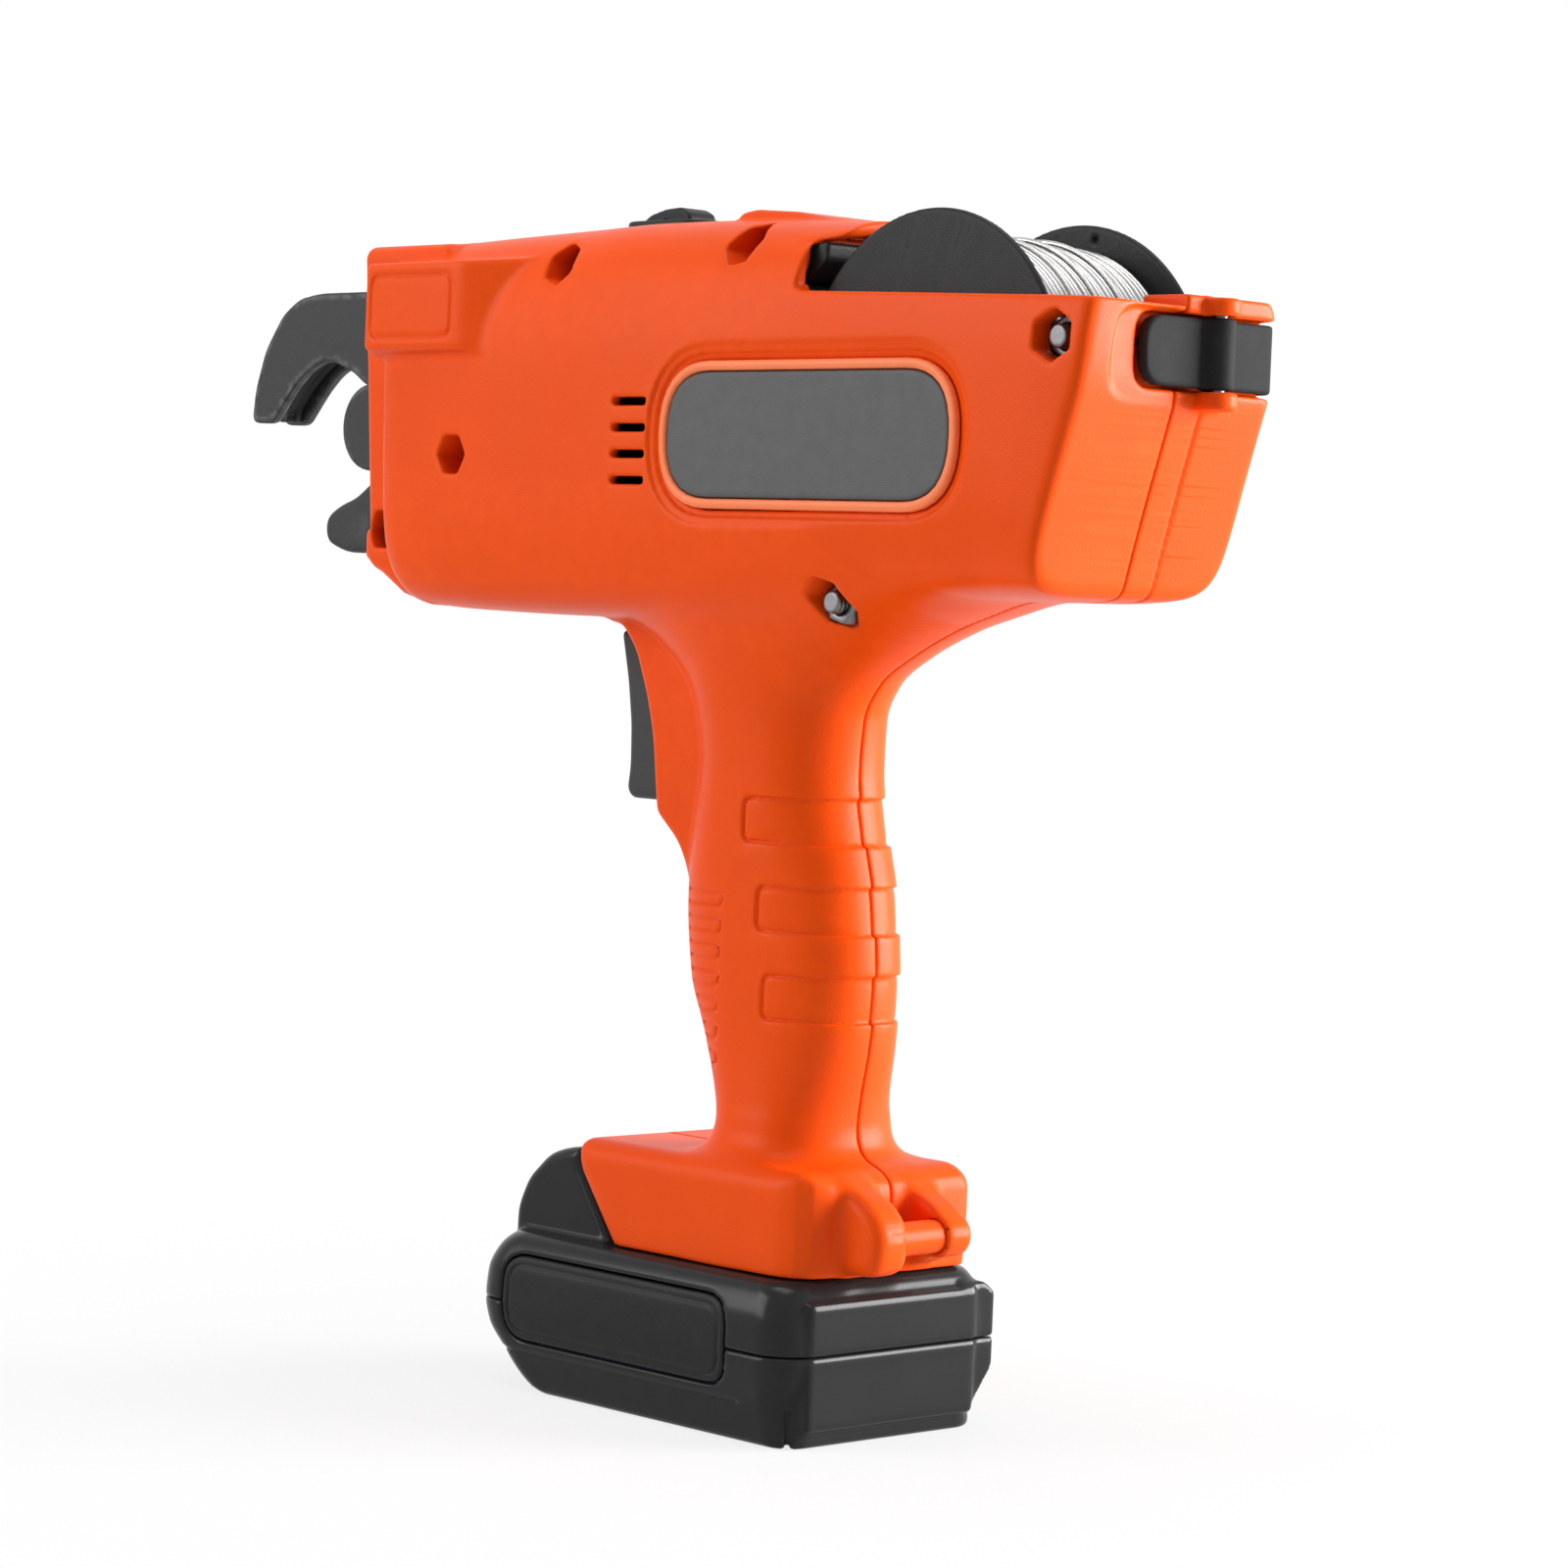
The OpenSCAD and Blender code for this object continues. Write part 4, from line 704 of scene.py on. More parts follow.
def plate_seat(s):
    """Seat of the name plate, in a shallow stepped field."""
    rim = outline(s.x, s.z, rounded(plate_frame, plate_round, 8))
    field = capped(rim - 5.6, np.abs(s.y + 31) - 2.3, 0.2)
    field = join(field, capped(rim - 3.9, np.abs(s.y + 31) - 3.0, 0.2))
    return join(field, capped(rim - 2.3, np.abs(s.y + 30.3) - 3.0, 0.2))


def spool_room(s, q):
    """Spool chamber, the tray over it and the mouth behind the canopy."""
    reach = spool_round + spool_play
    d = capped(around(s, spool_x, spool_z) - reach, np.abs(s.y) - tray_half, 0.5)
    low, high = (spool_x - reach, -tray_half, spool_z), (spool_x + reach, tray_half, tray_high)
    d = join(d, block(s, low, high, 0.8))
    front, rear, half = spool_x - spool_round, spool_x + spool_round, tray_half - 0.4
    top = [(front, 242.2), (rear, 242.2), (rear, 400), (54.7, 400), (45.9, 244.6), (front, 243.6)]
    d = join(d, slab(s, "y", top, -half, half, 0.4))
    end = 228.8 if q < 0 else 233.4
    mouth = rounded([(34.6, 234.1), (200, end), (200, 400), (46.7, 400), (43.7, 245.4), (35.1, 244.4)], 2)
    return join(d, slab(s, "y", mouth, -60, 60, 0.1))


def grip_relief(solid, s):
    """Bands round the rear of the grip and pills along its front."""
    for k in range(len(band_starts)):
        low = 117 - k * band_pitch
        work(solid, s, (8, -20, low), (44, 20, low + 16), lambda n: grip_band(n, k), cut, 0.15)
    for k in range(7):
        z = rib_top - rib_pitch * k
        work(solid, s, (-16, -20, z - 4), (18, 20, z + 4), lambda n: finger_rib(n, z))


def shell_openings(solid, s, q):
    """Jaw mouth, vents, battery slide, trigger slot, switch seat, bolt seats, strap bar and inlet."""
    pocket(solid, s, (-140, -11.5, 177.5), (-100, 11.5, 241.5), 2, 0.8)
    pocket(solid, s, (-101, -17.6, 179.6), (-84, 17.6, 241.1), 1)
    for k in range(4):
        low = vent_low + k * vent_pitch
        vent = rounded(frame_of(-18.0, -7.4, low, low + vent_tall), 0.83)
        work(solid, s, (-20, -40, low - 2.6), (-5, 40, low + 4.4),
             lambda n: slab(n, "y", vent, -40, 40, 0.1), cut, 0.5)
    rear, neck, rail = rail_rear + slide_play, neck_half + slide_play, rail_half + slide_play
    pocket(solid, s, (-60, -neck, 30), (rear, neck, neck_high + slide_play), 0.4, 0.5)
    pocket(solid, s, (-60, -rail, rail_low - slide_play), (rear, rail, rail_high + slide_play), 0.3)
    slot = [(-60, 127.2), (-9.6, 127.2), (-9.6, 151.5), (-24, 164.4), (-60, 164.4)]
    half = trigger_half + trigger_play
    work(solid, s, (-60, -9, 125), (-7, 9, 167), lambda n: slab(n, "y", slot, -half, half, 0.2), cut, 0.6)
    seat = rounded(frame_of(-42.6, -17.9, -7.85, 7.85), 6)
    work(solid, s, (-48, -10, 242), (-15, 10, 256), lambda n: slab(n, "z", seat, 249.85, 300, 0.1), cut, 0.3)
    pocket(solid, s, (-42.6, -5.3, 244.3), (-20.4, 5.3, 300), 0.3)
    for x, z, turn, depth in bolt_places:
        work(solid, s, (x - 6, -40, z - 6), (x + 6, 40, z + 6),
             lambda n: bolt_hole(n, q, x, z, turn, depth), cut, 0.5)
    work(solid, s, (46, -14, 36), (58, 14, 48), lambda n: rod(n, "y", bar_x, bar_z, 3.55, -11.05, 11.05, 0.1))
    pocket(solid, s, (26.5, -22.45, 225.3), (32.2, 8.05, 244.05), 0.2)


def rear_line(s):
    """Second line down the rear face, beside the seam."""
    return np.maximum(keep(np.abs(s.y - 8.2) - 0.3, -(barrel(s) + 0.7)), 84 - s.x)


def finger_scoop(s):
    field = rounded(frame_of(-19.5, 3.6, 212.8, 230.4), 7)
    return capped(outline(s.y, s.z, field), 114.0 - s.x, 0.5)


def lever_room(s):
    """Recess for the lever's pad, and room for its hinge."""
    low, high = lever_low - lever_play, lever_high + lever_play
    pad = outline(s.y, s.z, rounded(frame_of(-12.4, 40, low, high), 5))
    d = capped(pad, 112.0 - s.x, 0.3)
    d = join(d, np.maximum(capped(pad, 110.2 - s.x, 0.3), s.y - 3.7))
    return join(d, block(s, (110, 3.6, low), (140, 14.4, high), 0.5))


def arm_room(s):
    """Channel for the lever's arm along the right wall, and a bore for its hub."""
    arm = outline(s.x, s.z, rounded(frame_of(66, 140, lever_low - lever_play, lever_high + lever_play), 2))
    d = capped(join(arm, around(s, spool_x, spool_z) - 14), 25.9 - s.y, 0.3)
    return join(d, rod(s, "y", spool_x, spool_z, 13, 20, 60, 0.2))


def lever_seat(solid, s, q):
    """Scoop and recess for the lever; arm channel and hinge on the right, hub seat on the left."""
    work(solid, s, (108, -24, 208), (123, 6, 235), finger_scoop, cut, 1.8)
    work(solid, s, (107, -16, 212), (123, 33, 233), lever_room, cut, 0.9)
    if q < 0:
        work(solid, s, (54, -28, 200), (81, -18, 229),
             lambda n: rod(n, "y", spool_x, spool_z, 12.05, -25.6, -20, 0.1))
        return
    work(solid, s, (50, 18, 196), (123, 33, 233), arm_room, cut, 0.5)
    for z in (211.7, 230.0):
        work(solid, s, (106, 2, z - 2), (123, 16, z + 6), lambda n: hinge_eye(n, z), join, 0.6)
    work(solid, s, (112, 5, 210), (121, 13, 236),
         lambda n: rod(n, "z", lever_x, lever_y, pin_round + 0.03, 212.8, 240, 0.05))


def housing(q):
    """One half of the housing: q is -1 for the left and 1 for the right."""
    low, high, side = (-33, 1.4, "left") if q < 0 else (-1.4, 32, "right")
    s = Space((-119, low, 32), (123, high, 256), 0.6)
    solid = shell_mass(s, q)
    if q < 0:
        work(solid, s, (-9, -33, 184), (89, -26, 226), plate_seat, cut, 0.2)
    work(solid, s, (28, -40, 175), (123, 40, 256), lambda n: spool_room(n, q), cut, 0.7)
    grip_relief(solid, s)
    shell_openings(solid, s, q)
    if q > 0:
        work(solid, s, (88, 7, 168), (123, 9, 211), rear_line)
    lever_seat(solid, s, q)
    solid = keep(solid, half_gap - q * s.y + 0 * s.x, 0.2)
    form(f"housing_{side}", s, solid, "housing", "housing_orange", (f"{side}_shell",), share=0.28)


def name_plate():
    s = Space((-5, -31.5, 188), (85, -26, 222), 0.45)
    rim = outline(s.x, s.z, rounded(plate_frame, plate_round, 8))
    d = capped(rim + 0.1, np.abs(s.y + 28.15) - 0.8, 0.3)
    form("name_plate_panel", s, d, "housing", "grey_plastic", ("name_plate",), share=0.35)
    ring = capped(np.abs(rim - 1.15) - 1.05, np.abs(s.y + 28.35) - 1.0, 0.7)
    form("name_plate_rim", s, ring, "housing", "housing_orange", (), "rim_orange", share=0.35)


# Jaws

hook_side = [
    (-100, 239.1), (-150.3, 239.0), (-157.9, 237.9), (-164.1, 234.2), (-170.3, 226.2), (-173.8, 216.8),
    (-174.8, 208.7), (-166.5, 208.6), (-163.84, 211.5), (-159.19, 216.5), (-154.23, 220.5), (-148.96, 222.7),
    (-144.62, 223.1), (-136.56, 220.5), (-130.98, 217), (-100, 217)]
hook_plate_y, hook_plate_half, hook_lip = 4.75, 1.25, 2.2


def hook():
    s = Space((-178, -8, 204), (-97, 8, 242), 0.5)
    side = outline(s.x, s.z, rounded(hook_side, 2.4))
    for name, y in (("left", -hook_plate_y), ("right", hook_plate_y)):
        plate = capped(side, np.abs(s.y - y) - hook_plate_half, 0.55)
        form(f"hook_cheek_{name}", s, plate, "housing", "jaw_steel", (f"hook_plate_{name}",))
    inset = hook_side[:8] + [(x - hook_lip, z) for x, z in hook_side[8:11]]
    inset += [(x, z + hook_lip) for x, z in hook_side[11:]]
    d = capped(outline(s.x, s.z, rounded(inset, 1.8)) + 0.6, np.abs(s.y) - 3.45, 0.3)
    d = cut(d, block(s, (-152.7, -9, 237.3), (-142.1, 9, 250), 1), 0.5)
    d = cut(d, capped(np.abs(side + 1.2) - 1.4, np.abs(s.y) - 1.2, 0.3), 0.3)
    d = cut(d, rod(s, "x", 0, 226.7, 1.05, -116, -97, 0.05))
    form("hook_wire_channel", s, d, "housing", "black_plastic", ("hook_channel",))


def bar_rests():
    s = Space((-138, -12.5, 194), (-98, 12.5, 221), 0.5)
    cheek = around(s, -123.9, axis_z) - 9.9
    cheek = join(cheek, outline(s.x, s.z, frame_of(-124.4, -100, 198.9, 216.1)), 2)
    both = [capped(cheek, np.abs(s.y - y) - 1.5, 0.6) for y in (-9.0, 9.0)]
    form("bar_rests", s, join(*both), "housing", "jaw_steel", ("rest_plates",))


def lower_jaw():
    s = Space((-144, -10, 176), (-98, 10, 200), 0.5)
    side = rounded([
        (-100, 178.5), (-134.6, 178.6), (-142.0, 181.0), (-142.4, 186.6), (-137.2, 189.6), (-131.4, 191.3),
        (-124.2, 196.0), (-100, 197.5)], 3)
    x, z, _, _ = bolt_places[0]
    d = capped(outline(s.x, s.z, side), np.abs(s.y) - 8, 1.2)
    d = cut(d, capped(around(s, x, z) - bolt_bore, np.abs(s.y) - 20, 0.1))
    form("jaw_lower", s, d, "housing", "jaw_steel", ("lower_jaw",))


# Bolts and nuts


def fasteners():
    """Nut and threaded end on the left, socket head on the right, at each place."""
    for k, (x, z, turn, depth) in enumerate(bolt_places):
        low = -depth - (9.2 if k in (0, 2) else 6.6)
        high = depth + head_tall
        s = Space((x - 5.6, low - 1, z - 5.6), (x + 5.6, high + 1, z + 5.6), 0.3)
        ring = around(s, x, z)
        turns = np.mod(s.y / thread_pitch + np.arctan2(s.z - z, s.x - x) / (2 * np.pi), 1.0)
        thread = np.where(s.y < -depth + 2, 0.42 * np.abs(turns - 0.5) * 2, 0)
        d = capped(ring - bolt_round + thread, between(s.y, low, depth), 0.4)
        d = join(d, rod(s, "y", x, z, head_round, depth, high, 0.5))
        d = cut(d, slab(s, "y", hexagon(x, z, 0, 2.1), high - 1.8, high + 5, 0.1), 0.2)
        nodes = ("shell_bolts",) if k == 0 else ()
        form(f"shell_bolt_{k + 1}", s, d, "housing", "bare_steel", nodes, share=0.6)
        low, high = -depth - nut_tall, -depth
        s = Space((x - 5.6, low - 1, z - 5.6), (x + 5.6, high + 1, z + 5.6), 0.4)
        ring = around(s, x, z)
        d = slab(s, "y", hexagon(x, z, turn, nut_round), low, high, 0.15)
        d = keep(d, (ring - 4.2 - np.minimum(s.y - low, high - s.y) * 1.6) * 0.53, 0.2)
        d = cut(d, ring - 2.56 + 0 * s.y, 0.3)
        nodes = ("shell_nuts",) if k == 0 else ()
        form(f"shell_nut_{k + 1}", s, d, "housing", "bare_steel", nodes, share=0.6)


# Trigger and power switch


def round_wire(name, centre, out, across, radius):
    """Mesh of a wire along a row of centres, closed at both ends."""
    sides = 8
    b = 2 * np.pi * np.arange(sides) / sides
    ring = np.cos(b)[None, :, None] * out[:, None, :] + np.sin(b)[None, :, None] * np.array(across)
    points = centre[:, None, :] + radius * ring
    i = np.arange(len(centre) - 1)[:, None] * sides
    j = np.arange(sides)[None, :]
    n = (j + 1) % sides
    faces = np.stack([i + j, i + j + sides, i + n + sides, i + n], 2).reshape(-1, 4)
    last = (len(centre) - 1) * sides
    caps = [[m, m + 1, 6 - m, 7 - m] for m in range(3)]
    caps += [[last + v for v in cap[::-1]] for cap in caps]
    return mesh_of(name, points.reshape(-1, 3) * mm, np.concatenate([faces, np.array(caps)]))


def trigger_coil():
    """Spring between the trigger and its switch."""
    front, rear, coil, turns = -21.4, -9.8, 3.0, 3.5
    a = np.linspace(0, 2 * np.pi * turns, 127)
    out = np.stack([np.zeros_like(a), np.cos(a), np.sin(a)], 1)
    centre = coil * out + np.stack([np.linspace(front, rear, a.size), 0 * a, 0 * a + spring_z], 1)
    mesh = round_wire("trigger_coil", centre, out, (-1.0, 0.0, 0.0), 0.4)
    piece = place("trigger_coil", mesh, "housing", "bare_steel", ("trigger_spring",))
    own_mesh(piece)


def trigger():
    s = Space((-41, -8, 125.5), (-13, 8, 166), 0.45)
    side = rounded([
        (-38.8, 164), (-36.1, 152.9), (-34.7, 143.8), (-34.4, 134.7), (-35.1, 129.5), (-33.6, 127.6),
        (-16, 127.6), (-16, 150.5), (-33, 164)], 2)
    d = capped(outline(s.x, s.z, side), np.abs(s.y) - trigger_half, 1.8)
    d = cut(d, rod(s, "x", 0, spring_z, 4, -22, -10, 0.1))
    form("trigger_blade", s, d, "trigger", "grey_plastic", ("trigger",), "trigger_grey")


def power_switch():
    s = Space((-47, -10, 243), (-16, 10, 258), 0.4)
    d = slab(s, "z", rounded(frame_of(-42.5, -18, -7.75, 7.75), 6), 249.9, 252.1, 0.7)
    d = join(d, block(s, (-42.4, -5.1, 244.9), (-20.6, 5.1, 250.4), 0.4))
    d = cut(d, block(s, (-40.2, -4.5, 246.9), (-22.8, 4.5, 300), 0.6), 0.5)
    d = cut(d, rod(s, "y", rocker_x, rocker_z, 1.05, -5.7, 5.7, 0.05))
    form("switch_surround", s, d, "housing", "black_plastic", ("switch_bezel",))
    tilt = np.radians(7)
    u = (s.x - rocker_x) * np.cos(tilt) + (s.z - rocker_z) * np.sin(tilt)
    w = -(s.x - rocker_x) * np.sin(tilt) + (s.z - rocker_z) * np.cos(tilt)
    side = rounded([
        (-7.8, -1.2), (-2.4, -3), (2.4, -3), (7.8, -1.2), (7.4, 1.0), (4.8, 2.6), (0, 2.9),
        (-4.8, 2.4), (-7.6, 1.2)], 0.9, 3)
    d = capped(outline(u, w, side), np.abs(s.y) - 4.0, 0.6)
    for k in range(5):
        d = cut(d, capped(length(u + 3.2 + k * 0.95, w - 2.9) - 0.3, np.abs(s.y) - 3.0, 0.1), 0.2)
    d = join(d, rod(s, "y", rocker_x, rocker_z, 1, -5.5, 5.5, 0.2))
    form("rocker_cap", s, d, "rocker", "black_plastic", ("power_rocker",), share=0.5)


# Spool, its wire and the parts round it


def wire_reel():
    s = Space((29, -23.5, 176), (106, 23.5, 253), 0.6)
    ring = around(s, spool_x, spool_z)
    d = capped(ring - core_round, np.abs(s.y) - flange_y - flange_half, 0.4)
    for y in (-flange_y, flange_y):
        d = join(d, capped(ring - spool_round, np.abs(s.y - y) - flange_half, 0.6), 0.8)
    d = cut(d, capped(ring - 10, np.abs(s.y) - 40, 0.1), 0.4)
    d = cut(d, rod(s, "y", spool_x + 4.8, spool_z + 32.6, 0.75, 18, 20.9, 0.1))
    form("wire_reel", s, d, "spool", "black_plastic", ("spool",), share=0.35)
    wire_turns("wire_layer", turns=27, radius=0.62, coil=30.2, start=-18.7, end=18.7, nodes=("wire_winding",))
    wire_turns("wire_loose", turns=4, radius=0.55, coil=31.2, start=-15, end=13, nodes=())


def wire_turns(name, turns, radius, coil, start, end, nodes):
    """Wire on a helix round the spool that wanders a little."""
    steps = 72
    k = np.arange(turns * steps + 1)
    a = 2 * np.pi * k / steps
    y = start + (end - start) * k / k[-1] + 0.16 * np.sin(1.7 * a + start) * np.sin(0.31 * a)
    r = coil + 0.12 * np.sin(a * 0.37 + 1.3) * np.sin(a * 0.053)
    out = np.stack([np.cos(a), np.zeros_like(a), np.sin(a)], 1)
    centre = np.stack([spool_x + r * np.cos(a), y, spool_z + r * np.sin(a)], 1)
    place(name, round_wire(name, centre, out, (0.0, 1.0, 0.0), radius), "spool", "tying_wire", nodes)


def wire_inlet():
    s = Space((25, -24.5, 223.5), (40.5, 10, 246), 0.4)
    d = block(s, (26.6, -22.4, 225.4), (30.2, 8, 240.7), 0.5)
    wedge = rounded([(26.6, 236.2), (32.6, 236.2), (38.4, 240.6), (38.4, 244.2), (26.6, 244)], 0.8, 3)
    d = join(d, slab(s, "y", wedge, -22.4, 8, 0.6), 0.4)
    d = cut(d, block(s, (29.0, -20.1, 227.4), (33, -6, 234.2), 0.6), 0.3)
    d = cut(d, block(s, (30.1, -1.3, 220), (60, 1.3, 260), 0.2), 0.3)
    d = cut(d, rod(s, "x", 0, 238.3, 1.1, 20, 40, 0.1), 0.4)
    form("inlet_guide", s, d, "housing", "black_plastic", ("wire_inlet",), share=0.5)


def spool_lever():
    s = Space((52, -14, 200), (123, 32, 232), 0.5)
    tall = between(s.z, lever_low, lever_high)
    plan = rounded([
        (113, -11.5), (115.6, -11.5), (115.7, 9), (115.2, 24.7), (115.2, 26), (112.2, 29), (67, 29),
        (67, 26.4), (112.6, 26.4), (112.6, 9), (113, 9)], 0.7)
    d = capped(outline(s.x, s.y, plan), tall, 0.8)
    wing = outline(s.y, s.z, rounded(frame_of(-11.5, 60, lever_low, lever_high), 6.3))
    d = keep(d, wing, 0.8)
    d = join(d, rod(s, "z", lever_x, lever_y, 3.3, lever_low, lever_high, 0.8), 1.2)
    ring = around(s, spool_x, spool_z)
    d = join(d, capped(ring - 12, np.abs(s.y - 27.7) - 1.3, 0.6), 0.6)
    d = join(d, capped(ring - 11, np.abs(s.y - 25.5) - 2.9, 0.4))
    cone = np.maximum(ring - 10 + 0.62 * np.maximum(22.6 - s.y, 0), np.abs(s.y - 20.1) - 2.9)
    d = join(d, cone, 0.3)
    d = cut(d, rod(s, "z", lever_x, lever_y, pin_round + 0.05, 200, 240, 0.05))
    form("lever_arm", s, d, "lever", "grey_plastic", ("spool_lever",), "lever_black", share=0.35)


# Battery

# z, how far the front, the rear and the sides draw in, corner radius
case_stations = [
    (0, 18.0, 2.2, 3.0, 6.0), (1.5, 14.0, 1.9, 2.4, 7.0), (8, 5.5, 2.3, 1.9, 8.0), (14, 1.0, 1.3, 0.6, 8.5),
    (19, 0.0, 0.6, 0.0, 9.0), (25, 0.6, 0.8, 0.1, 9.0), (30, 3.0, 1.8, 1.2, 8.5), (33, 6.0, 3.4, 3.0, 8.0),
    (33.8, 7.5, 4.6, 4.2, 7.0)]
case_front, case_rear, case_half, case_high = -52, 48, 30.9, 33.8
groove_z, split_z, split_gap = 8.2, 18.925, 0.075
label_frame, label_round = frame_of(-41.0, 29.0, 11.0, 29.2), 6.5


def case_shape(s):
    front, rear, side, corner = (course(case_stations, k)(s.z) for k in range(1, 5))
    front, rear, half = case_front + front, case_rear - rear, case_half - side
    plan = capped(between(s.x, front, rear), np.abs(s.y) - half, corner)
    return keep(plan, between(s.z, 0, case_high), 1.2)


def battery_mass(s):
    """The case with the raised panel on its rear and the ear at its right."""
    d = case_shape(s)
    panel = block(s, (34, -24.3, 3.4), (47.7, 24.3, 30.0), 1.2)
    d = join(d, panel, 0.8)
    ear = block(s, (34, 20, 5), (46.9, 30.5, 30.8), 1.0)
    ear = keep(ear, (s.y - 27.2) * 0.6 + (s.z - 30.8) * 0.8, 0.6)
    ear = keep(ear, (s.y - 30.5) * 0.8 + (13 - s.z) * 0.6, 0.6)
    return join(d, ear, 1.0)


def label_field(s, grow, depth):
    """Rounded field on the left of the case, down to a depth under its skin."""
    ring = outline(s.x, s.z, rounded(label_frame, label_round)) - grow
    return np.maximum(np.maximum(ring, -(case_shape(s) + depth)), s.y + 22)


def battery_tub(s, case, hollow, label):
    """Lower case, with a groove round it and a notch in its left rear corner."""
    skin = case_shape(s)
    d = cut(keep(case, s.z - split_z + split_gap, 0.5), hollow)
    d = cut(d, np.maximum(np.maximum(np.abs(s.z - groove_z) - 0.4, -(skin + 0.6)), s.x - 32), 0.2)
    along = (s.x - 41.0 + s.y + 27.0) * 0.5 ** 0.5
    notch = np.maximum(np.maximum(np.abs(along - 2.9) - 0.55, -(skin + 0.9)), s.z - groove_z)
    d = cut(d, np.maximum(notch, s.y + 15), 0.2)
    d = cut(d, label, 0.2)
    form("battery_tub", s, d, "battery", "black_plastic", ("battery_lower_case",), "battery_gloss", share=0.3)


def battery_lid(s, case, hollow, label):
    """Upper case, with the hump in front and the rail that slides into the foot."""
    side = rounded([
        (-48, 30.8), (-47.8, 38.3), (-44.5, 45), (-37.8, 50.8), (-32, 52.6), (-26.9, 53.2), (-26.9, 49.7),
        (-22.8, 43.6), (-15.9, 33.8), (-15.5, 30.8)], 2.5)
    d = keep(case, split_z + split_gap - s.z, 0.5)
    d = join(d, slab(s, "y", side, -22.5, 22.5, 2.4), 1.5)
    neck = block(s, (rail_front, -neck_half, 30), (rail_rear, neck_half, neck_high), 0.4)
    rail = block(s, (rail_front, -rail_half, rail_low), (rail_rear, rail_half, rail_high), 0.4)
    d = join(d, join(neck, rail), 0.6)
    d = cut(d, np.maximum(hollow, s.z - 31.4))
    d = cut(d, np.maximum(capped(outline(s.x, s.z, side) + 2.4, np.abs(s.y) - 20, 0.2), 31.6 - s.z))
    d = cut(d, block(s, (-60, -9.4, 36.4), (-39, 9.4, 44.2), 1.2), 0.6)
    d = cut(d, label, 0.2)
    for y in (-8, 0, 8):
        d = cut(d, block(s, (20, y - 1.2, 29.8), (37, y + 1.2, 60), 0.2))
    form("battery_lid", s, d, "battery", "black_plastic", ("battery_upper_case",), "battery_gloss", share=0.3)


def battery_panel():
    s = Space((-44, -33, 9), (32, -26, 32), 0.45)
    d = keep(label_field(s, 0.0, 1.8), case_shape(s) + 0.1, 0.5)
    ring = outline(s.x, s.z, rounded(label_frame, label_round))
    d = cut(d, np.maximum(np.abs(ring + 1.9) - 0.3, -(case_shape(s) + 0.5)), 0.2)
    form("battery_panel", s, d, "battery", "black_plastic", ("battery_label",))


def release_button():
    s = Space((-51, -13, 34), (-38, 13, 47), 0.4)
    d = slab(s, "y", rounded([(-48.8, 36.8), (-42, 36.8), (-42, 43.8), (-45.8, 43.8)], 1), -9, 9, 0.8)
    for k in range(4):
        line = length(s.x + 48.6 - k * 0.75, s.z - 38.3 - k * 1.5) - 0.4
        d = cut(d, capped(line, np.abs(s.y) - 6.5, 0.1), 0.2)
    d = join(d, block(s, (-42.4, -11, 37.8), (-40.8, 11, 41.8), 0.4))
    form("release_button", s, d, "release", "black_plastic", ("battery_release",), share=0.5)


def battery():
    s = Space((-54, -33, -2), (50, 33, 55), 0.65)
    case, hollow, label = battery_mass(s), case_shape(s) + 2.3, label_field(s, 0.4, 2.0)
    battery_tub(s, case, hollow, label)
    battery_lid(s, case, hollow, label)
    battery_panel()
    release_button()


housing(-1)
housing(1)
name_plate()
hook()
bar_rests()
lower_jaw()
fasteners()
trigger()
trigger_coil()
power_switch()
wire_reel()
wire_inlet()
spool_lever()
battery()

# Finishes of the solids that stay

for node in frame["record"]["subparts"]:
    holder = bpy.data.objects.get(node["node"])
    if holder and holder.type == "MESH" and not holder.hide_render:
        holder.data.materials.clear()
        holder.data.materials.append(looks[node["material_slot"]].material)

# Camera at the photograph's angle

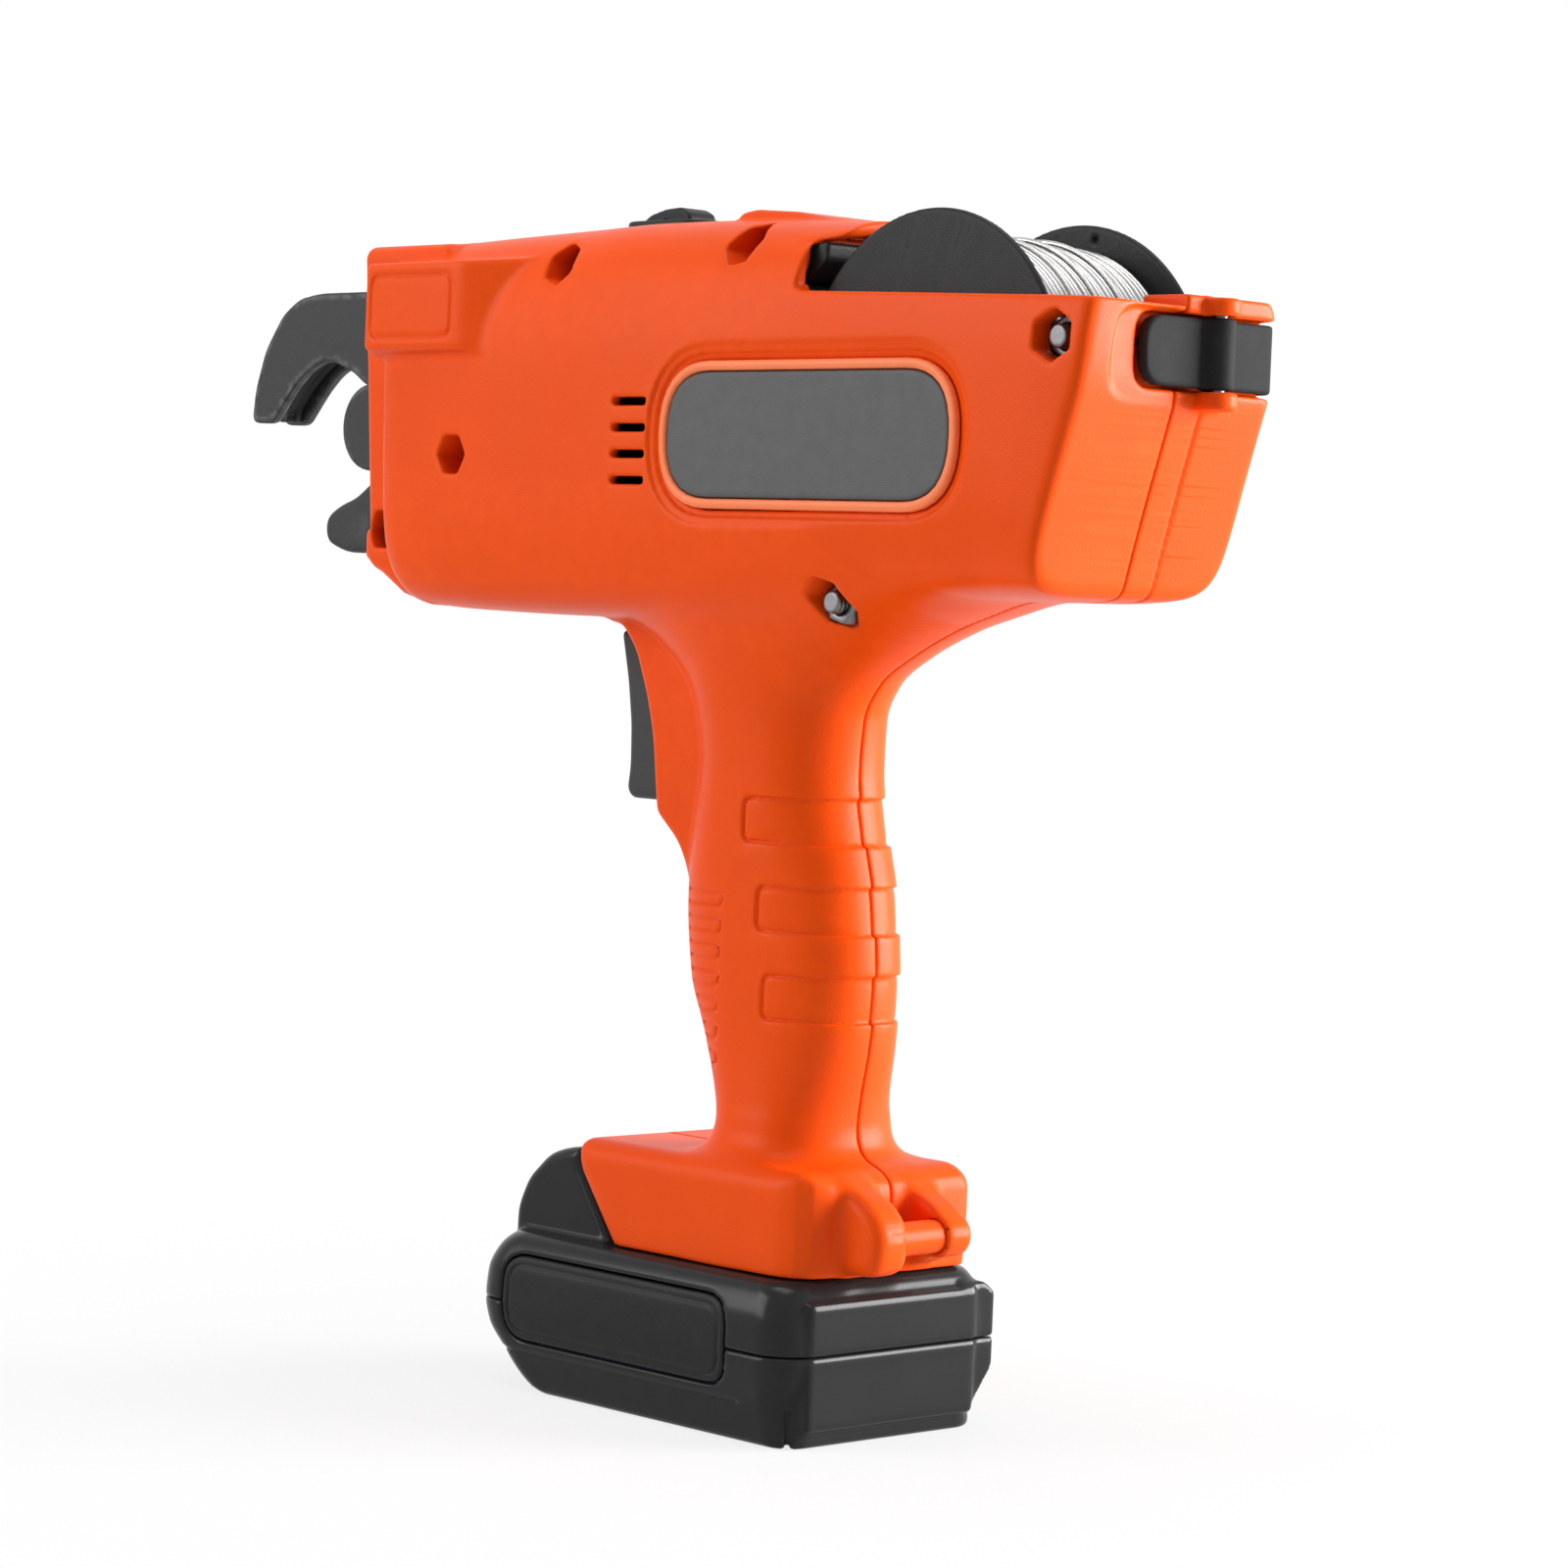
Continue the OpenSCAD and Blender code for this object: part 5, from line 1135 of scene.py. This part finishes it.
camera_place = (0.6965, -0.654, 0.1727)
right = Vector((0.687, 0.7254, 0.0396)).normalized()
ahead = Vector((-0.7242, 0.6884, -0.0418)).normalized()
up = right.cross(ahead).normalized()
ahead = up.cross(right)
lens = bpy.data.cameras.new("camera")
lens.sensor_width = 36
lens.lens = 103.5
camera = bpy.data.objects.new("camera", lens)
scene.collection.objects.link(camera)
camera.matrix_world = Matrix.Translation(camera_place) @ Matrix((right, up, -ahead)).transposed().to_4x4()
scene.camera = camera

# Floor and studio light


floor_half = 4.0
room_light = 0.24

# name, place, size, power
lamps = [
    ("key", (0.8, 1.0, 0.35), 0.8, 48.0),
    ("fill", (-0.75, -1.1, 0.65), 0.8, 11.5),
    ("top", (0.0, -0.1, 1.4), 0.8, 9.0)]


def pale_floor():
    """Floor that keeps the shadow near the tool and runs into the white of the room further off."""
    look = Look("pale floor", (0.65, 0.65, 0.65), 0.75)
    look.set("Base Color", look.blend(look.noise(4, 2), (0.64, 0.64, 0.64, 1), (0.66, 0.66, 0.66, 1)))
    away = look.node("ShaderNodeVectorMath", {"operation": "LENGTH"}, {0: look.place}, out="Value")
    glow = look.node("ShaderNodeEmission", {}, {"Color": white, "Strength": 1.0})
    plain = Wire(look, look.shader.outputs[0])
    mixed = look.node("ShaderNodeMixShader", {}, {
        0: look.seen() * (0.8 + 0.2 * look.ramp(away, 0.1, 0.3)), 1: plain, 2: glow})
    look.feed(look.tree.nodes["Material Output"].inputs["Surface"], mixed)
    corners = [(x, y, 0.0) for x, y in frame_of(-floor_half, floor_half, -floor_half, floor_half)]
    mesh = mesh_of("floor", np.array(corners), np.array([[0, 1, 2, 3]]))
    floor = bpy.data.objects.new("floor", mesh)
    scene.collection.objects.link(floor)
    mesh.materials.append(look.material)


def studio():
    """White room and three soft lamps: a key from the rear right, a fill from the front left, one above."""
    scene.world = bpy.data.worlds.new("studio")
    room = Tree(scene.world)
    back = room.tree.nodes["Background"].inputs
    room.feed(back["Color"], white)
    room.feed(back["Strength"], room_light + (1.0 - room_light) * room.seen())
    middle = Vector((0, 0, 0.15))
    for name, spot, size, power in lamps:
        data = bpy.data.lights.new(name, "AREA")
        data.size = size
        data.energy = power
        lamp = bpy.data.objects.new(name, data)
        scene.collection.objects.link(lamp)
        lamp.location = spot
        lamp.rotation_euler = (middle - Vector(spot)).to_track_quat("-Z", "Y").to_euler()


pale_floor()
studio()
scene.view_settings.view_transform = "Standard"
